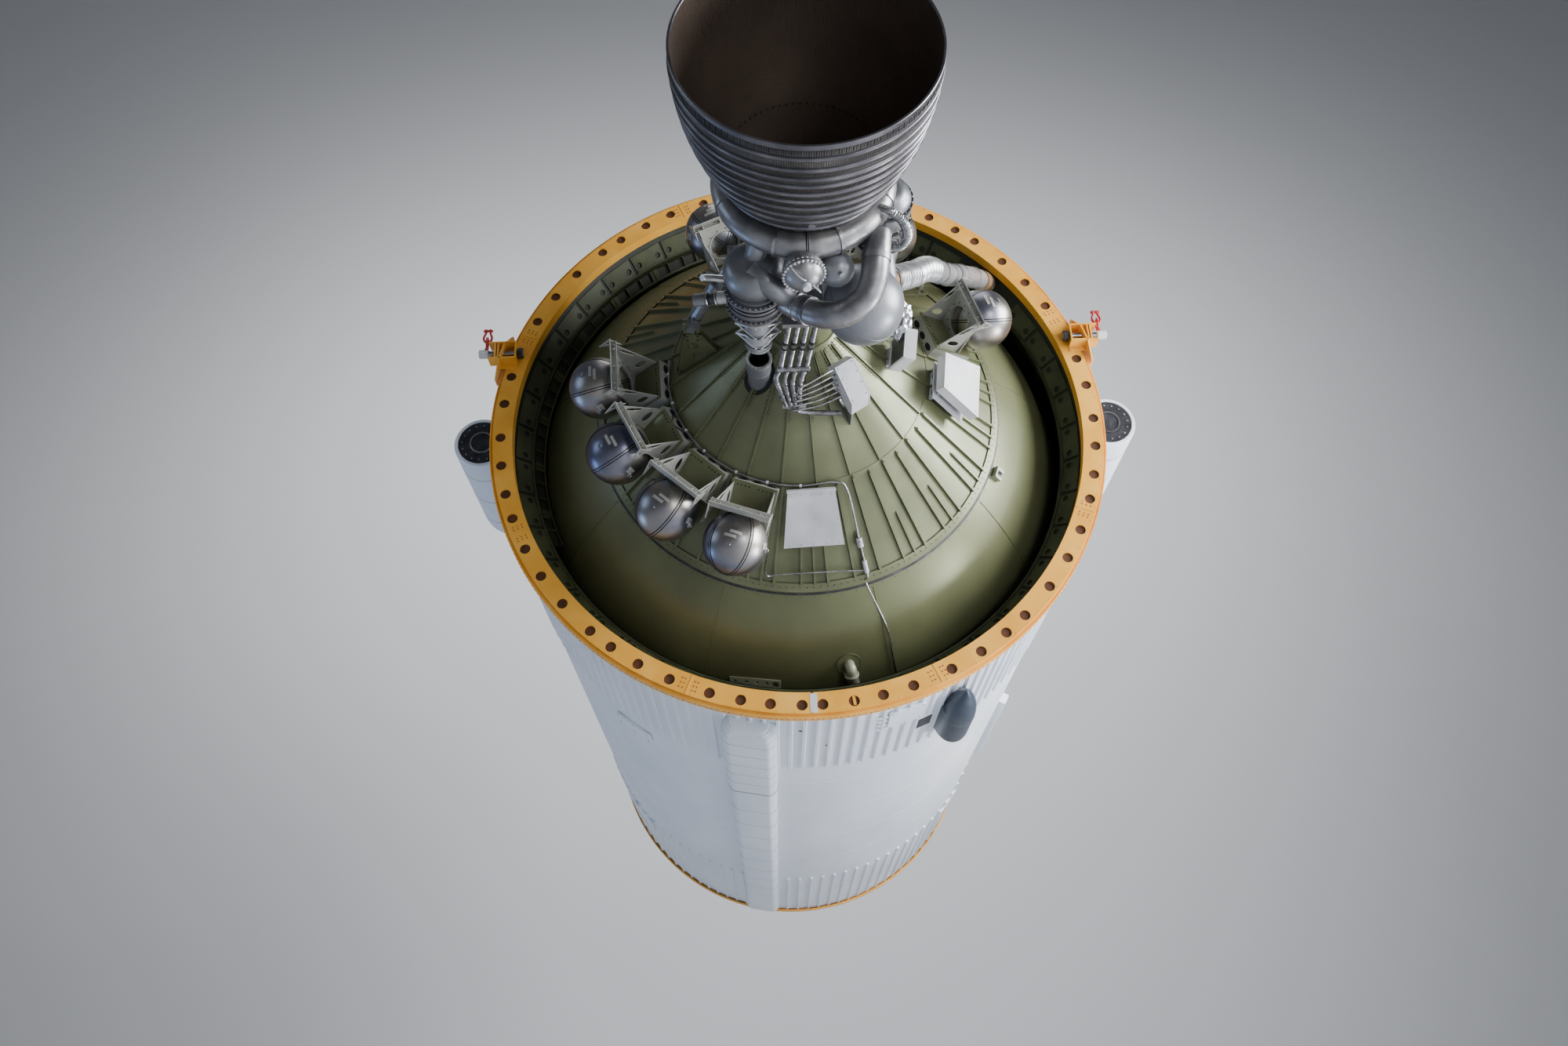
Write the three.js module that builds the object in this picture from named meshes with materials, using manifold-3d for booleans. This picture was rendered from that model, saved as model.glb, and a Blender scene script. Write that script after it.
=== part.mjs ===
// Upper stage of a space rocket with its gimballed engine, carried level on two handling rings.
// Millimetres. The origin is the centre of the aft handling ring's aft face, on the stage's axis.
// +Y runs forward along the axis, away from the engine; +X is to the right seen from the engine
// end; +Z is up. A clock angle is in degrees, from +X towards +Z, seen from the engine end.
import * as THREE from 'three';
import { mergeVertices } from 'three/addons/utils/BufferGeometryUtils.js';
import Module from 'manifold-3d';

const wasm = await Module();
wasm.setup();

// Driving dimensions
const FIT = 0.3; // gap between pieces that touch
const BIG_SIDES = 48; // sides of the large turned pieces
const BELL_SIDES = 28;
const PUMP_SIDES = 16;
const STAGE = {
  skinRadius: 3302,
  wall: 40,
  aftDomeY: 2294, // centre of the aft dome's sphere, and the tank wall's aft end
  forwardDomeY: 9120,
};
const RING = { innerRadius: 3128, outerRadius: 3382, depth: 130, web: 18, forwardFaceY: 12350 };
const FORWARD_RING_RADIUS = 3356;
const CONE = { wideRadius: 2134, wideY: -227, smallRadius: 340, smallY: -1846, collarY: -2330 };
const GIMBAL_Y = -2450;
const SPHERE = { radius: 316, ringRadius: 2045, y: -940 };
const HOLES = { pitchRadius: 3258, radius: 56 }; // row of holes in each handling ring's face
const NOZZLE = { exitY: -5250, exitRadius: 1000, wall: 12 };
const MANIFOLD = { y: -3790, ringRadius: 650, tubeRadius: 118 };
const LUG = { x: 3255, z: 955, pinRadius: 34, pinOut: 3545, pinIn: 3050 };
const coneSlope = (CONE.wideRadius - CONE.smallRadius) / (CONE.wideY - CONE.smallY);
const coneAngle = Math.atan(coneSlope);
const coneRadiusAt = (y) => CONE.smallRadius + coneSlope * (y - CONE.smallY);

const finish = (color, roughness, metalness) =>
  new THREE.MeshStandardMaterial({ color, roughness, metalness });
const paint = {
  white: finish(0xdfe3e6, 0.45, 0),
  orange: finish(0xd9983a, 0.5, 0),
  green: finish(0x6c6e45, 0.5, 0.1),
  slate: finish(0x2c3440, 0.45, 0),
  red: finish(0xc02a28, 0.4, 0),
  grey: finish(0xa9abaa, 0.5, 0),
};
const metal = {
  engine: finish(0x9b9c9e, 0.4, 0.9),
  pump: finish(0x6a6c70, 0.45, 0.9),
  tubes: finish(0x6f6c6a, 0.45, 0.9),
  sphere: finish(0x8d8f96, 0.22, 1),
  bracket: finish(0x8c8c86, 0.5, 0.7),
  steel: finish(0x8a8b8d, 0.35, 1),
};

// Solids: three.js geometry goes in, booleans are made, geometry comes out
function toSolid(geometry, matrix) {
  const bare = geometry.clone();
  bare.deleteAttribute('normal');
  bare.deleteAttribute('uv');
  if (matrix) bare.applyMatrix4(matrix);
  const merged = mergeVertices(bare, 1e-3);
  const position = merged.getAttribute('position').array;
  const corner = (i) => new THREE.Vector3().fromArray(position, 3 * i);
  const faces = [];
  let volume = 0;
  for (let i = 0; i < merged.index.count; i += 3) {
    const [a, b, c] = merged.index.array.slice(i, i + 3);
    if (a === b || b === c || c === a) continue;
    faces.push([a, b, c]);
    volume += corner(a).dot(corner(b).cross(corner(c)));
  }
  const outward = volume < 0 ? faces.map(([a, b, c]) => [a, c, b]) : faces;
  return new wasm.Manifold(
    new wasm.Mesh({
      numProp: 3,
      vertProperties: new Float32Array(position),
      triVerts: new Uint32Array(outward.flat()),
    }),
  );
}
const fuse = (...solids) => solids.flat(2).reduce((a, b) => a.add(b));
const cut = (solid, ...tools) => tools.flat().reduce((a, b) => a.subtract(b), solid);

const stage = new THREE.Group();
function part(name, solid, material) {
  const { vertProperties, triVerts } = solid.getMesh();
  const geometry = new THREE.BufferGeometry();
  geometry.setAttribute('position', new THREE.BufferAttribute(vertProperties, 3));
  geometry.setIndex(new THREE.BufferAttribute(triVerts, 1));
  geometry.computeVertexNormals();
  const piece = new THREE.Mesh(geometry, material);
  piece.name = name;
  stage.add(piece);
  return piece;
}

// Placing: a frame's local X is tangential, Y runs along the surface and Z stands off it
const radians = THREE.MathUtils.degToRad;
const v = (x, y, z) => new THREE.Vector3(x, y, z);
const polar = (radius, clock, y) =>
  v(radius * Math.cos(radians(clock)), y, radius * Math.sin(radians(clock)));
const at = (x, y, z) => new THREE.Matrix4().makeTranslation(x, y, z);
function frameOf(origin, xAxis, yAxis, zAxis) {
  return new THREE.Matrix4().makeBasis(xAxis, yAxis, zAxis).setPosition(origin);
}
function skinFrame(radius, clock, y) {
  const out = polar(1, clock, 0);
  const along = v(0, 1, 0);
  return frameOf(polar(radius, clock, y), along.clone().cross(out), along, out);
}
function coneFrame(clock, y) {
  const out = polar(Math.cos(coneAngle), clock, -Math.sin(coneAngle));
  const along = polar(Math.sin(coneAngle), clock, Math.cos(coneAngle));
  return frameOf(polar(coneRadiusAt(y), clock, y), along.clone().cross(out), along, out);
}
function aimed(from, to) {
  const along = to.clone().sub(from).normalize();
  const turn = new THREE.Quaternion().setFromUnitVectors(v(0, 1, 0), along);
  const middle = from.clone().add(to).multiplyScalar(0.5);
  return new THREE.Matrix4().compose(middle, turn, v(1, 1, 1));
}

// Basic solids
function turned(profile, sides = BIG_SIDES, matrix) {
  const points = profile.map(([radius, y]) => new THREE.Vector2(radius, y));
  return toSolid(new THREE.LatheGeometry(points, sides), matrix);
}
const hoop = (inner, outer, y0, y1, sides = BIG_SIDES, matrix) =>
  turned([[inner, y0], [outer, y0], [outer, y1], [inner, y1], [inner, y0]], sides, matrix);
const block = (width, length, height, matrix, base = 0) =>
  toSolid(
    new THREE.BoxGeometry(width, length, height),
    (matrix ?? new THREE.Matrix4()).clone().multiply(at(0, 0, base + height / 2)),
  );
const ball = (radius, centre, wide = 14, high = 9) =>
  toSolid(new THREE.SphereGeometry(radius, wide, high), at(centre.x, centre.y, centre.z));
function rod(from, to, radius, endRadius = radius, sides = 12) {
  const length = from.distanceTo(to);
  return toSolid(new THREE.CylinderGeometry(endRadius, radius, length, sides), aimed(from, to));
}
// A plate with the given outline, extruded evenly to both sides of its plane. The outline lies in
// a frame's X and Y, or in Y and Z when it is extruded along X, or in Z and X when along Y.
const alongX = new THREE.Matrix4().makeBasis(v(0, 1, 0), v(0, 0, 1), v(1, 0, 0));
const alongY = new THREE.Matrix4().makeBasis(v(0, 0, 1), v(1, 0, 0), v(0, 1, 0));
function prism(outline, depth, matrix) {
  const shape = new THREE.Shape(outline.map(([a, b]) => new THREE.Vector2(a, b)));
  const place = matrix.clone().multiply(at(0, 0, -depth / 2));
  return toSolid(new THREE.ExtrudeGeometry(shape, { depth, bevelEnabled: false }), place);
}
function pipe(points, radius, sides = 10, steps = 4 * (points.length - 1)) {
  const section = [];
  for (let i = 0; i < sides; i += 1) {
    const turn = (2 * Math.PI * i) / sides;
    section.push(new THREE.Vector2(radius * Math.cos(turn), radius * Math.sin(turn)));
  }
  const extrudePath = new THREE.CatmullRomCurve3(points);
  return toSolid(
    new THREE.ExtrudeGeometry(new THREE.Shape(section), { steps, extrudePath }),
  );
}

// Propellant tank: a cylinder with two domes of the skin's radius, stepped in under the skirts
const underSkirt = STAGE.skinRadius - STAGE.wall;
const domeEdge = THREE.MathUtils.radToDeg(Math.asin(underSkirt / STAGE.skinRadius));
const coneSeat = THREE.MathUtils.radToDeg(Math.asin(CONE.wideRadius / STAGE.skinRadius));
const domePoint = (angle, centreY, way) => [
  STAGE.skinRadius * Math.sin(radians(angle)),
  centreY + way * STAGE.skinRadius * Math.cos(radians(angle)),
];
const insideCone = [0, coneSeat / 2, coneSeat];
const outsideCone = [51, 62, domeEdge];
const aftDome = [...insideCone, ...outsideCone].map((a) => domePoint(a, STAGE.aftDomeY, -1));
const forwardDome = [domeEdge, 56, 28, 0].map((a) =>
  domePoint(a, STAGE.forwardDomeY, 1),
);
const tank = turned([
  ...aftDome,
  [underSkirt, STAGE.aftDomeY],
  [STAGE.skinRadius, STAGE.aftDomeY],
  [STAGE.skinRadius, STAGE.forwardDomeY],
  [underSkirt, STAGE.forwardDomeY],
  ...forwardDome,
]);
part('propellant_tank', tank, paint.green);
const tankClearance = tank.translate([0, -FIT, 0]);

// Skirts: open cylinders that carry the tank into the handling rings
const skirt = (y0, y1) =>
  hoop(underSkirt + FIT, STAGE.skinRadius, y0, y1);
part('aft_skirt', skirt(RING.web + FIT, STAGE.aftDomeY - FIT), paint.white);
part(
  'forward_skirt',
  skirt(STAGE.forwardDomeY + FIT, RING.forwardFaceY - RING.web - FIT),
  paint.white,
);
const skinClearance = turned([
  [0, -400],
  [STAGE.skinRadius + FIT, -400],
  [STAGE.skinRadius + FIT, RING.forwardFaceY + 400],
  [0, RING.forwardFaceY + 400],
]);

// Handling rings: channels open towards the stage, with a lifting lug and pin at each side
function channelRing(outer, faceY, way) {
  const web = RING.web;
  const inner = RING.innerRadius;
  const section = [
    [inner, 0],
    [outer, 0],
    [outer, RING.depth],
    [outer - web, RING.depth],
    [outer - web, web],
    [inner + web, web],
    [inner + web, RING.depth],
    [inner, RING.depth],
    [inner, 0],
  ];
  return turned(section.map(([radius, depth]) => [radius, faceY + way * depth]));
}
function lug(side, faceY, way) {
  const gusset = (z) => block(250, 150, 24, at(side * LUG.x, faceY - way * 75, z - 12));
  const box = fuse(
    gusset(LUG.z + 100),
    gusset(LUG.z - 100),
    block(24, 150, 220, at(side * (LUG.x - 113), faceY - way * 75, LUG.z - 110)),
    block(24, 150, 220, at(side * (LUG.x + 60), faceY - way * 75, LUG.z - 110)),
  );
  const clock = side > 0 ? 16 : 164;
  const outerPlate = block(
    520,
    230,
    50,
    skinFrame(RING.outerRadius - 12, clock, faceY + way * 40),
  );
  return fuse(box, outerPlate);
}
const liftingPin = (side, faceY, way) => {
  const y = faceY - way * 62;
  const along = (x) => v(side * x, y, LUG.z);
  return fuse(
    rod(along(LUG.pinIn), along(LUG.pinOut), LUG.pinRadius),
    rod(along(LUG.pinIn + 10), along(LUG.pinIn + 60), 62, 62, 6),
    rod(along(LUG.pinOut - 60), along(LUG.pinOut), 60, 60, 16),
  );
};
const pinHole = (side, faceY, way) =>
  rod(
    v(side * (LUG.pinIn - 50), faceY - way * 62, LUG.z),
    v(side * (LUG.pinOut + 50), faceY - way * 62, LUG.z),
    LUG.pinRadius + FIT,
  );
const sides = [['right', 1], ['left', -1]];
// Clock angles of the holes on the right half, from the top down; the left half mirrors them
const holeClocks = [
  88.2, 82.7, 77.3, 71.9, 64.4, 58.5, 52.2, 47.3, 39.8, 32.9, 26, 12.2, 5.9, -1.7, -7.9, -14.2,
  -19.6, -26.5, -32.9, -39.8, -47.3, -52.2, -58.1, -64.4, -71.9, -77.5, -82.7, -88.2,
];
const ringHoles = holeClocks.flatMap((clock) =>
  [clock, 180 - clock].map((angle) => {
    const place = polar(HOLES.pitchRadius, angle, 0);
    return rod(
      v(place.x, -20, place.z),
      v(place.x, RING.web + 20, place.z),
      HOLES.radius,
      HOLES.radius,
      6,
    );
  }),
);
const aftRing = fuse(
  cut(channelRing(RING.outerRadius, 0, 1), ringHoles),
  sides.map(([, side]) => lug(side, 0, 1)),
);
part(
  'aft_handling_ring',
  cut(aftRing, sides.map(([, side]) => pinHole(side, 0, 1))),
  paint.orange,
);
const forwardRing = fuse(
  channelRing(FORWARD_RING_RADIUS, RING.forwardFaceY, -1),
  sides.map(([, side]) => lug(side, RING.forwardFaceY, -1)),
);
part('forward_handling_ring', forwardRing, paint.orange);

// Sling shackles: each hangs on a lifting pin by its eye and neck, with its bow standing up
function bow(centre, halfWidth, height, thickness, turn) {
  const points = [
    [-halfWidth * 0.45, 0],
    [-halfWidth, height * 0.4],
    [-halfWidth, height * 0.7],
    [0, height],
    [halfWidth, height * 0.7],
    [halfWidth, height * 0.4],
    [halfWidth * 0.45, 0],
  ].map(([across, up]) => v(across, 0, up));
  const way = height > 0 ? -1 : 1;
  const loop = pipe(points, thickness, 6, 12);
  const cross = rod(
    v(-halfWidth * 0.45 - 40, 0, way * 6),
    v(halfWidth * 0.45 + 40, 0, way * 6),
    thickness * 1.3,
    thickness * 1.3,
    10,
  );
  return fuse(loop, cross).transform(
    new THREE.Matrix4()
      .makeTranslation(centre.x, centre.y, centre.z)
      .multiply(new THREE.Matrix4().makeRotationZ(turn)).elements,
  );
}
for (const [name, side] of sides) {
  const pin = liftingPin(side, 0, 1);
  part(`lifting_pin_${name}`, pin, metal.steel);
  const eye = turned(
    [[LUG.pinRadius + FIT, -16], [62, -16], [62, 16], [LUG.pinRadius + FIT, 16],
      [LUG.pinRadius + FIT, -16]],
    12,
    at(side * (LUG.pinOut - 80), -62, LUG.z).multiply(
      new THREE.Matrix4().makeRotationZ(Math.PI / 2),
    ),
  );
  const neck = block(32, 30, 160, at(side * (LUG.pinOut - 80), -62, LUG.z + 50));
  const lowerTop = LUG.z + 200;
  const lower = fuse(
    eye,
    neck,
    bow(v(side * (LUG.pinOut - 80), -62, lowerTop), 52, 130, 17, Math.PI / 2),
  );
  part(`sling_shackle_${name}`, lower, paint.red);
}

// Thrust cone, seated on the aft dome
const cone = turned([
  ...aftDome.slice(0, insideCone.length).map(([radius, y]) => [radius, y - FIT]),
  [CONE.smallRadius, CONE.smallY],
  [CONE.smallRadius, CONE.collarY],
  [0, CONE.collarY],
]);
// Stringers that run the cone's full length
const STRINGER = { width: 22, height: 34, from: 420, to: 2090, firstClock: -24.2, pitch: 15 };
function stringers(extra) {
  const { width, height, from, to, firstClock, pitch } = STRINGER;
  const length = (to - from) / Math.sin(coneAngle);
  const middleY = CONE.smallY + ((from + to) / 2 - CONE.smallRadius) / coneSlope;
  return Array.from({ length: 360 / pitch }, (_, i) =>
    block(
      width + 2 * extra,
      length + 2 * extra,
      height + 6 + extra,
      coneFrame(firstClock - i * pitch, middleY),
      -6,
    ),
  );
}
const STUB = { x: -411, z: -450, radius: 112, hole: 150, mouthY: -1900, footY: -1200 };
const ACCESS = { x: -1204, z: 24, radius: 55, y: -1056, depth: 90 };
const alongStage = (x, z, y0, y1, radius, count = 16) =>
  rod(v(x, y0, z), v(x, y1, z), radius, radius, count);
const stubRod = (y0, y1, radius) => alongStage(STUB.x, STUB.z, y0, y1, radius, 20);
const coneClearance = fuse(cone, stringers(FIT)).translate([0, -FIT, 0]);

// Actuators: [name, clock] of the plane that each one works in
const ACTUATOR = {
  base: { r: 1050, y: -1850 }, // pivot on the cone
  eye: { r: 600, y: -2900 }, // rod's eye on the engine
  block: 40, ear: 35, gap: 5, pin: 20, hole: 20.85, eyePin: 22, eyeHole: 34,
};
const actuators = [['yaw', 180], ['pitch', 90]];
const turnTo = (clock) => new THREE.Matrix4().makeRotationY(-radians(clock));
const earPlace = ACTUATOR.block + ACTUATOR.gap + ACTUATOR.ear / 2;
function actuatorMount(clock) {
  const { base, block: half, ear, hole } = ACTUATOR;
  const place = turnTo(clock).multiply(at(base.r, base.y, 0));
  const spread = 2 * earPlace + ear;
  const solid = fuse(
    prism([[-80, 110], [80, 110], [200, 890], [-300, 560]], 90, at(0, 0, 0)),
    block(spread, 120, 90, at(0, 110 + 60, -45)),
    [1, -1].map((side) => block(ear, 200, 60, at(side * earPlace, 45, -30))),
  );
  const bore = rod(v(-200, 0, 0), v(200, 0, 0), hole, hole, 12);
  return cut(solid, bore).transform(place.elements);
}
part(
  'thrust_cone',
  fuse(
    cut(
      fuse(cone, stringers(0)),
      stubRod(-2600, STUB.footY, STUB.hole),
      alongStage(ACCESS.x, ACCESS.z, ACCESS.y - 200, ACCESS.y + ACCESS.depth, ACCESS.radius, 12),
    ),
    actuators.map(([, clock]) => cut(actuatorMount(clock), tankClearance)),
  ),
  paint.green,
);

// Oxidiser feed stub in its hole of the cone; the length that joined it to the engine is missing
part(
  'oxidiser_stub',
  cut(
    fuse(
      stubRod(STUB.mouthY, STUB.footY - FIT, STUB.radius),
      stubRod(STUB.mouthY, STUB.mouthY + 30, STUB.radius + 14),
    ),
    stubRod(STUB.mouthY - 50, STUB.footY - 60, STUB.radius - 16),
  ),
  metal.steel,
);

// Gimbal mount on the cone's small end
const EAR = { offset: 155, width: 50, half: 60, hole: 40.9, pin: 40 };
const mountPlateY = CONE.collarY - FIT;
const mount = fuse(
  rod(v(0, mountPlateY, 0), v(0, mountPlateY - 24, 0), 320, 320, 24),
  [1, -1].map((side) =>
    block(EAR.width, 158, 2 * EAR.half, at(side * EAR.offset, mountPlateY - 100, -EAR.half)),
  ),
);
part(
  'gimbal_mount',
  cut(mount, rod(v(-300, GIMBAL_Y, 0), v(300, GIMBAL_Y, 0), EAR.hole, EAR.hole, 16)),
  metal.steel,
);
part(
  'gimbal_cross',
  fuse(
    block(180, 120, 180, at(0, GIMBAL_Y, -90)),
    rod(v(-178, GIMBAL_Y, 0), v(178, GIMBAL_Y, 0), EAR.pin, EAR.pin, 16),
    rod(v(0, GIMBAL_Y, -178), v(0, GIMBAL_Y, 178), EAR.pin, EAR.pin, 16),
  ),
  metal.steel,
);

// Helium spheres on the thrust cone. Each rests in the round hole of a leaning plate that stands
// on a pedestal, between two gussets, under a rail with an ear at each end.
const spheres = [
  ['1', -110],
  ['2', -131.7],
  ['3', -154.4],
  ['4', -176.9],
  ['5', 16.8],
  ['6', 114.5],
  ['7', 59],
];
// Outlines in a sphere's own frame: Y towards the cone's wide end, Z off the cone
const BRACKET = {
  pedestal: [[-525, -520], [-525, -335], [60, -335], [60, -520]],
  plate: [[-366, 165], [-172, -315], [-186, -335], [-210, -335], [-392, 165]],
  gusset: [[-505, -310], [-505, -345], [-190, -345], [-345, 165], [-405, 165]],
  rail: [[-425, 140], [-405, 215], [-345, 165], [-365, 140]],
  ear: [[-410, 60], [-395, 215], [-230, 205]],
};
for (const [name, clock] of spheres) {
  const centre = polar(SPHERE.ringRadius, clock, SPHERE.y);
  part(`helium_sphere_${name}`, ball(SPHERE.radius, centre), metal.sphere);
  const own = coneFrame(clock, SPHERE.y).setPosition(centre);
  const across = (x, outline, depth, lean = 0) =>
    prism(
      outline,
      depth,
      own.clone().multiply(at(x, 0, 0)).multiply(new THREE.Matrix4().makeRotationY(lean))
        .multiply(alongX),
    );
  const support = fuse(
    across(0, BRACKET.pedestal, 456),
    across(0, BRACKET.plate, 480),
    across(0, BRACKET.rail, 604),
    [1, -1].map((side) => [
      across(side * 240, BRACKET.gusset, 14, side * 0.1),
      across(side * 296, BRACKET.ear, 12),
    ]),
  );
  part(
    `sphere_bracket_${name}`,
    cut(support, coneClearance, ball(SPHERE.radius + FIT, centre)),
    metal.bracket,
  );
}

// Boxes and panels on the thrust cone
const junctionSeat = coneFrame(-57, -1601);
function junctionBox(extra) {
  const near = -195 - extra;
  const far = 195 + extra;
  const low = 190 - extra;
  const high = 350 + extra;
  const outline = [[near, low], [near, high], [far, high], [far + 125, high - 125], [far + 95, low]];
  return prism(outline, 215 + 2 * extra, junctionSeat.clone().multiply(alongX));
}
const junctionFoot = prism(
  [[-60, 200], [-60, -80], [470, -80], [470, 10], [300, 200]],
  28,
  junctionSeat.clone().multiply(at(70, 0, 0)).multiply(alongX),
);
part('junction_box', cut(fuse(junctionBox(0), junctionFoot), coneClearance), paint.grey);
const controlSeat = coneFrame(-8.5, -1409);
part(
  'control_box',
  cut(
    fuse(
      prism([[0, 327], [90, 386], [152, 116], [62, 57]], 350, controlSeat.clone().multiply(alongX)),
      block(200, 70, 200, controlSeat.clone().multiply(at(0, 100, 0)), -60),
      rod(v(-150, 40, 300), v(-330, 0, 330), 90, 60, 8).transform(controlSeat.elements),
    ),
    coneClearance,
  ),
  paint.white,
);
const equipmentSeat = coneFrame(-7.9, -827);
part(
  'equipment_box',
  cut(
    fuse(
      prism(
        [[-204, -260], [204, -260], [305, 260], [-305, 260]],
        120,
        equipmentSeat.clone().multiply(at(0, 0, 240)),
      ),
      prism(
        [[-200, -230], [235, -230], [330, 230], [-280, 230]],
        16,
        equipmentSeat.clone().multiply(at(0, 0, 110)),
      ),
      block(380, 30, 260, equipmentSeat.clone().multiply(at(0, -150, 0)), -60),
      block(480, 30, 260, equipmentSeat.clone().multiply(at(0, 170, 0)), -60),
    ),
    coneClearance,
  ),
  paint.white,
);
const panelSeat = coneFrame(-87.75, -751);
part(
  'heat_shield_panel',
  cut(
    fuse(
      prism(
        [[-232, -285], [232, -285], [300, 285], [-300, 285]],
        30,
        panelSeat.clone().multiply(at(0, 0, 115)),
      ),
      block(480, 24, 70, panelSeat.clone().multiply(at(0, -285, 0)), 80),
      block(420, 24, 150, panelSeat.clone().multiply(at(0, -200, 0)), -40),
      block(500, 24, 150, panelSeat.clone().multiply(at(0, 220, 0)), -40),
    ),
    coneClearance,
  ),
  paint.grey,
);

// Tunnel, conduit, fairings and pods on the outside of the skin
part(
  'main_tunnel',
  cut(
    prism(
      [[-60, -280], [110, -280], [180, -215], [180, 215], [110, 280], [-60, 280]],
      11260,
      skinFrame(STAGE.skinRadius, -101, 6070).multiply(alongY),
    ),
    skinClearance,
  ),
  paint.white,
);
part(
  'side_conduit',
  cut(block(150, 2600, 140, skinFrame(STAGE.skinRadius, -28, 6600), -40), skinClearance),
  paint.white,
);
for (const [name, side] of sides) {
  const fairingClock = side > 0 ? -62 : 118;
  const body = skinFrame(STAGE.skinRadius + 130, fairingClock, 0);
  const along = [[0, 450], [70, 570], [135, 760], [176, 1050], [176, 1680], [140, 1810], [0, 1880]];
  part(
    `ullage_fairing_${name}`,
    cut(turned(along, 20, body), skinClearance),
    paint.slate,
  );
  const pod = skinFrame(STAGE.skinRadius + 318, side > 0 ? 3.2 : 176.8, 0);
  const shell = [[0, 600], [305, 600], [320, 640], [320, 2300], [200, 2620], [0, 2700]];
  part(
    `attitude_pod_${name}`,
    cut(
      fuse(
        turned(shell, 20, pod),
        block(420, 1700, 330, skinFrame(STAGE.skinRadius, side > 0 ? 3.2 : 176.8, 1500), -40),
      ),
      skinClearance,
    ),
    paint.white,
  );
}

// Pipes on the cone and dome: a tube round the cone on standoffs, which then runs down the cone and
// out over the dome, and a thin line that crosses the stringers' ends
const TUBE = { radius: 12, ringRadius: 1345, ringY: -990, turnClock: -73.3 };
const ringTubePoints = [-187.5, -172, -156, -140, -124, -108, -92, -78].map((clock) =>
  polar(TUBE.ringRadius, clock, TUBE.ringY),
);
const overCone = (radius, clock, off) => {
  const y = CONE.smallY + (radius - CONE.smallRadius) / coneSlope;
  return v(0, 0, off).applyMatrix4(coneFrame(clock, y));
};
const downTubePoints = [
  overCone(1400, TUBE.turnClock, 58),
  overCone(1800, TUBE.turnClock, 60),
  overCone(2080, TUBE.turnClock, 50),
  v(600, -205, -2070),
  v(811, 159, -2410),
  v(873, 419, -2600),
  v(943, 721, -2776),
];
part(
  'ring_tube',
  cut(
    fuse(
      pipe([...ringTubePoints, ...downTubePoints], TUBE.radius, 5, 30),
      [-180, -92].map((clock) =>
        rod(polar(1290, clock, -930), polar(TUBE.ringRadius, clock, TUBE.ringY), 9, 9, 4),
      ),
      rod(overCone(1780, TUBE.turnClock, 60), overCone(1850, TUBE.turnClock, 60), 30, 30, 8),
      rod(overCone(1810, TUBE.turnClock, -20), overCone(1810, TUBE.turnClock, 110), 16, 16, 8),
      rod(overCone(1960, TUBE.turnClock, 55), overCone(2060, TUBE.turnClock, 55), 24, 24, 8),
      rod(overCone(2010, TUBE.turnClock, -20), overCone(2010, TUBE.turnClock, 50), 12, 12, 6),
      pipe([overCone(2000, -98, 60), overCone(1985, -86, 50), overCone(2040, TUBE.turnClock, 52)], 8, 4, 4),
    ),
    coneClearance,
    tankClearance,
  ),
  metal.steel,
);
part(
  'vent_pipe',
  cut(
    fuse(
      pipe([v(495, 1100, -2920), v(492, 850, -2880), v(470, 640, -2850), v(443, 500, -2800)], 62),
      rod(v(443, 500, -2800), v(430, 440, -2755), 84, 84, 12),
    ),
    tankClearance,
  ),
  paint.green,
);

// Fuel duct: fixed run from the skirt's wall, then two bellows that flex with the engine
const DUCT_RADIUS = 115;
const BELLOWS_RADIUS = 128;
const skirtClearance = hoop(underSkirt, STAGE.skinRadius + 200, -100, STAGE.aftDomeY);
const ductInlet = v(793, -2700, -193); // on the engine's fuel pump
const ductMouth = v(1033, -2420, 76); // on the fixed run
const ductMiddle = ductInlet.clone().lerp(ductMouth, 0.5);
const ductLine = ductMouth.clone().sub(ductInlet).normalize();
const ductFixed = [
  ductMouth,
  ductMouth.clone().addScaledVector(ductLine, 60),
  v(1241, -2100, 381),
  v(1563, -1350, 884),
  v(1824, -800, 1289),
  v(2058, -350, 1595),
  v(2222, 0, 1813),
  v(2440, 520, 2120),
];
part('fuel_duct', cut(pipe(ductFixed, DUCT_RADIUS, 12, 14), skirtClearance), metal.engine);
function bellows(from, to) {
  const along = to.clone().sub(from).normalize();
  const near = from.clone().addScaledVector(along, FIT);
  return rod(near, to.clone().addScaledVector(along, -FIT), BELLOWS_RADIUS, BELLOWS_RADIUS, 16);
}
part('fuel_bellows_fixed', bellows(ductMouth, ductMiddle), metal.engine);
part('fuel_bellows_engine', bellows(ductMiddle, ductInlet), metal.engine);

// Nozzle bell: a thin wall with hat bands, open at the exit and the throat
const bellRadius = (y) => {
  const s = (y - NOZZLE.exitY) / 1200;
  return NOZZLE.exitRadius * (1 - 0.2 * s * s - 0.1 * s * s * s);
};
const bellStations = [-5250, -5000, -4750, -4500, -4250, -4000];
const bellOuter = bellStations.map((y) => [bellRadius(y), y]);
const throat = [[560, -3820], [420, -3620], [187, -3200]];
const outerWall = [...bellOuter, ...throat];
const innerWall = outerWall.map(([radius, y]) => [radius - NOZZLE.wall * 1.3, y]).reverse();
part(
  'nozzle',
  turned([...outerWall, ...innerWall, outerWall[0]], BELL_SIDES),
  metal.tubes,
);
function outrigger(clock) {
  const { eye, eyePin } = ACTUATOR;
  const frame = turnTo(clock);
  const earAt = (side) => at(eye.r, eye.y, side * 60 - 10);
  return fuse(
    block(300, 90, 60, at(eye.r - 240, eye.y + 40, -30)),
    block(40, 90, 140, at(eye.r - 80, eye.y + 40, -70)),
    [1, -1].map((side) => block(160, 80, 20, earAt(side).multiply(at(-20, 20, 0)))),
    rod(v(eye.r, eye.y, -75), v(eye.r, eye.y, 75), eyePin, eyePin, 12),
  ).transform(frame.elements);
}
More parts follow.
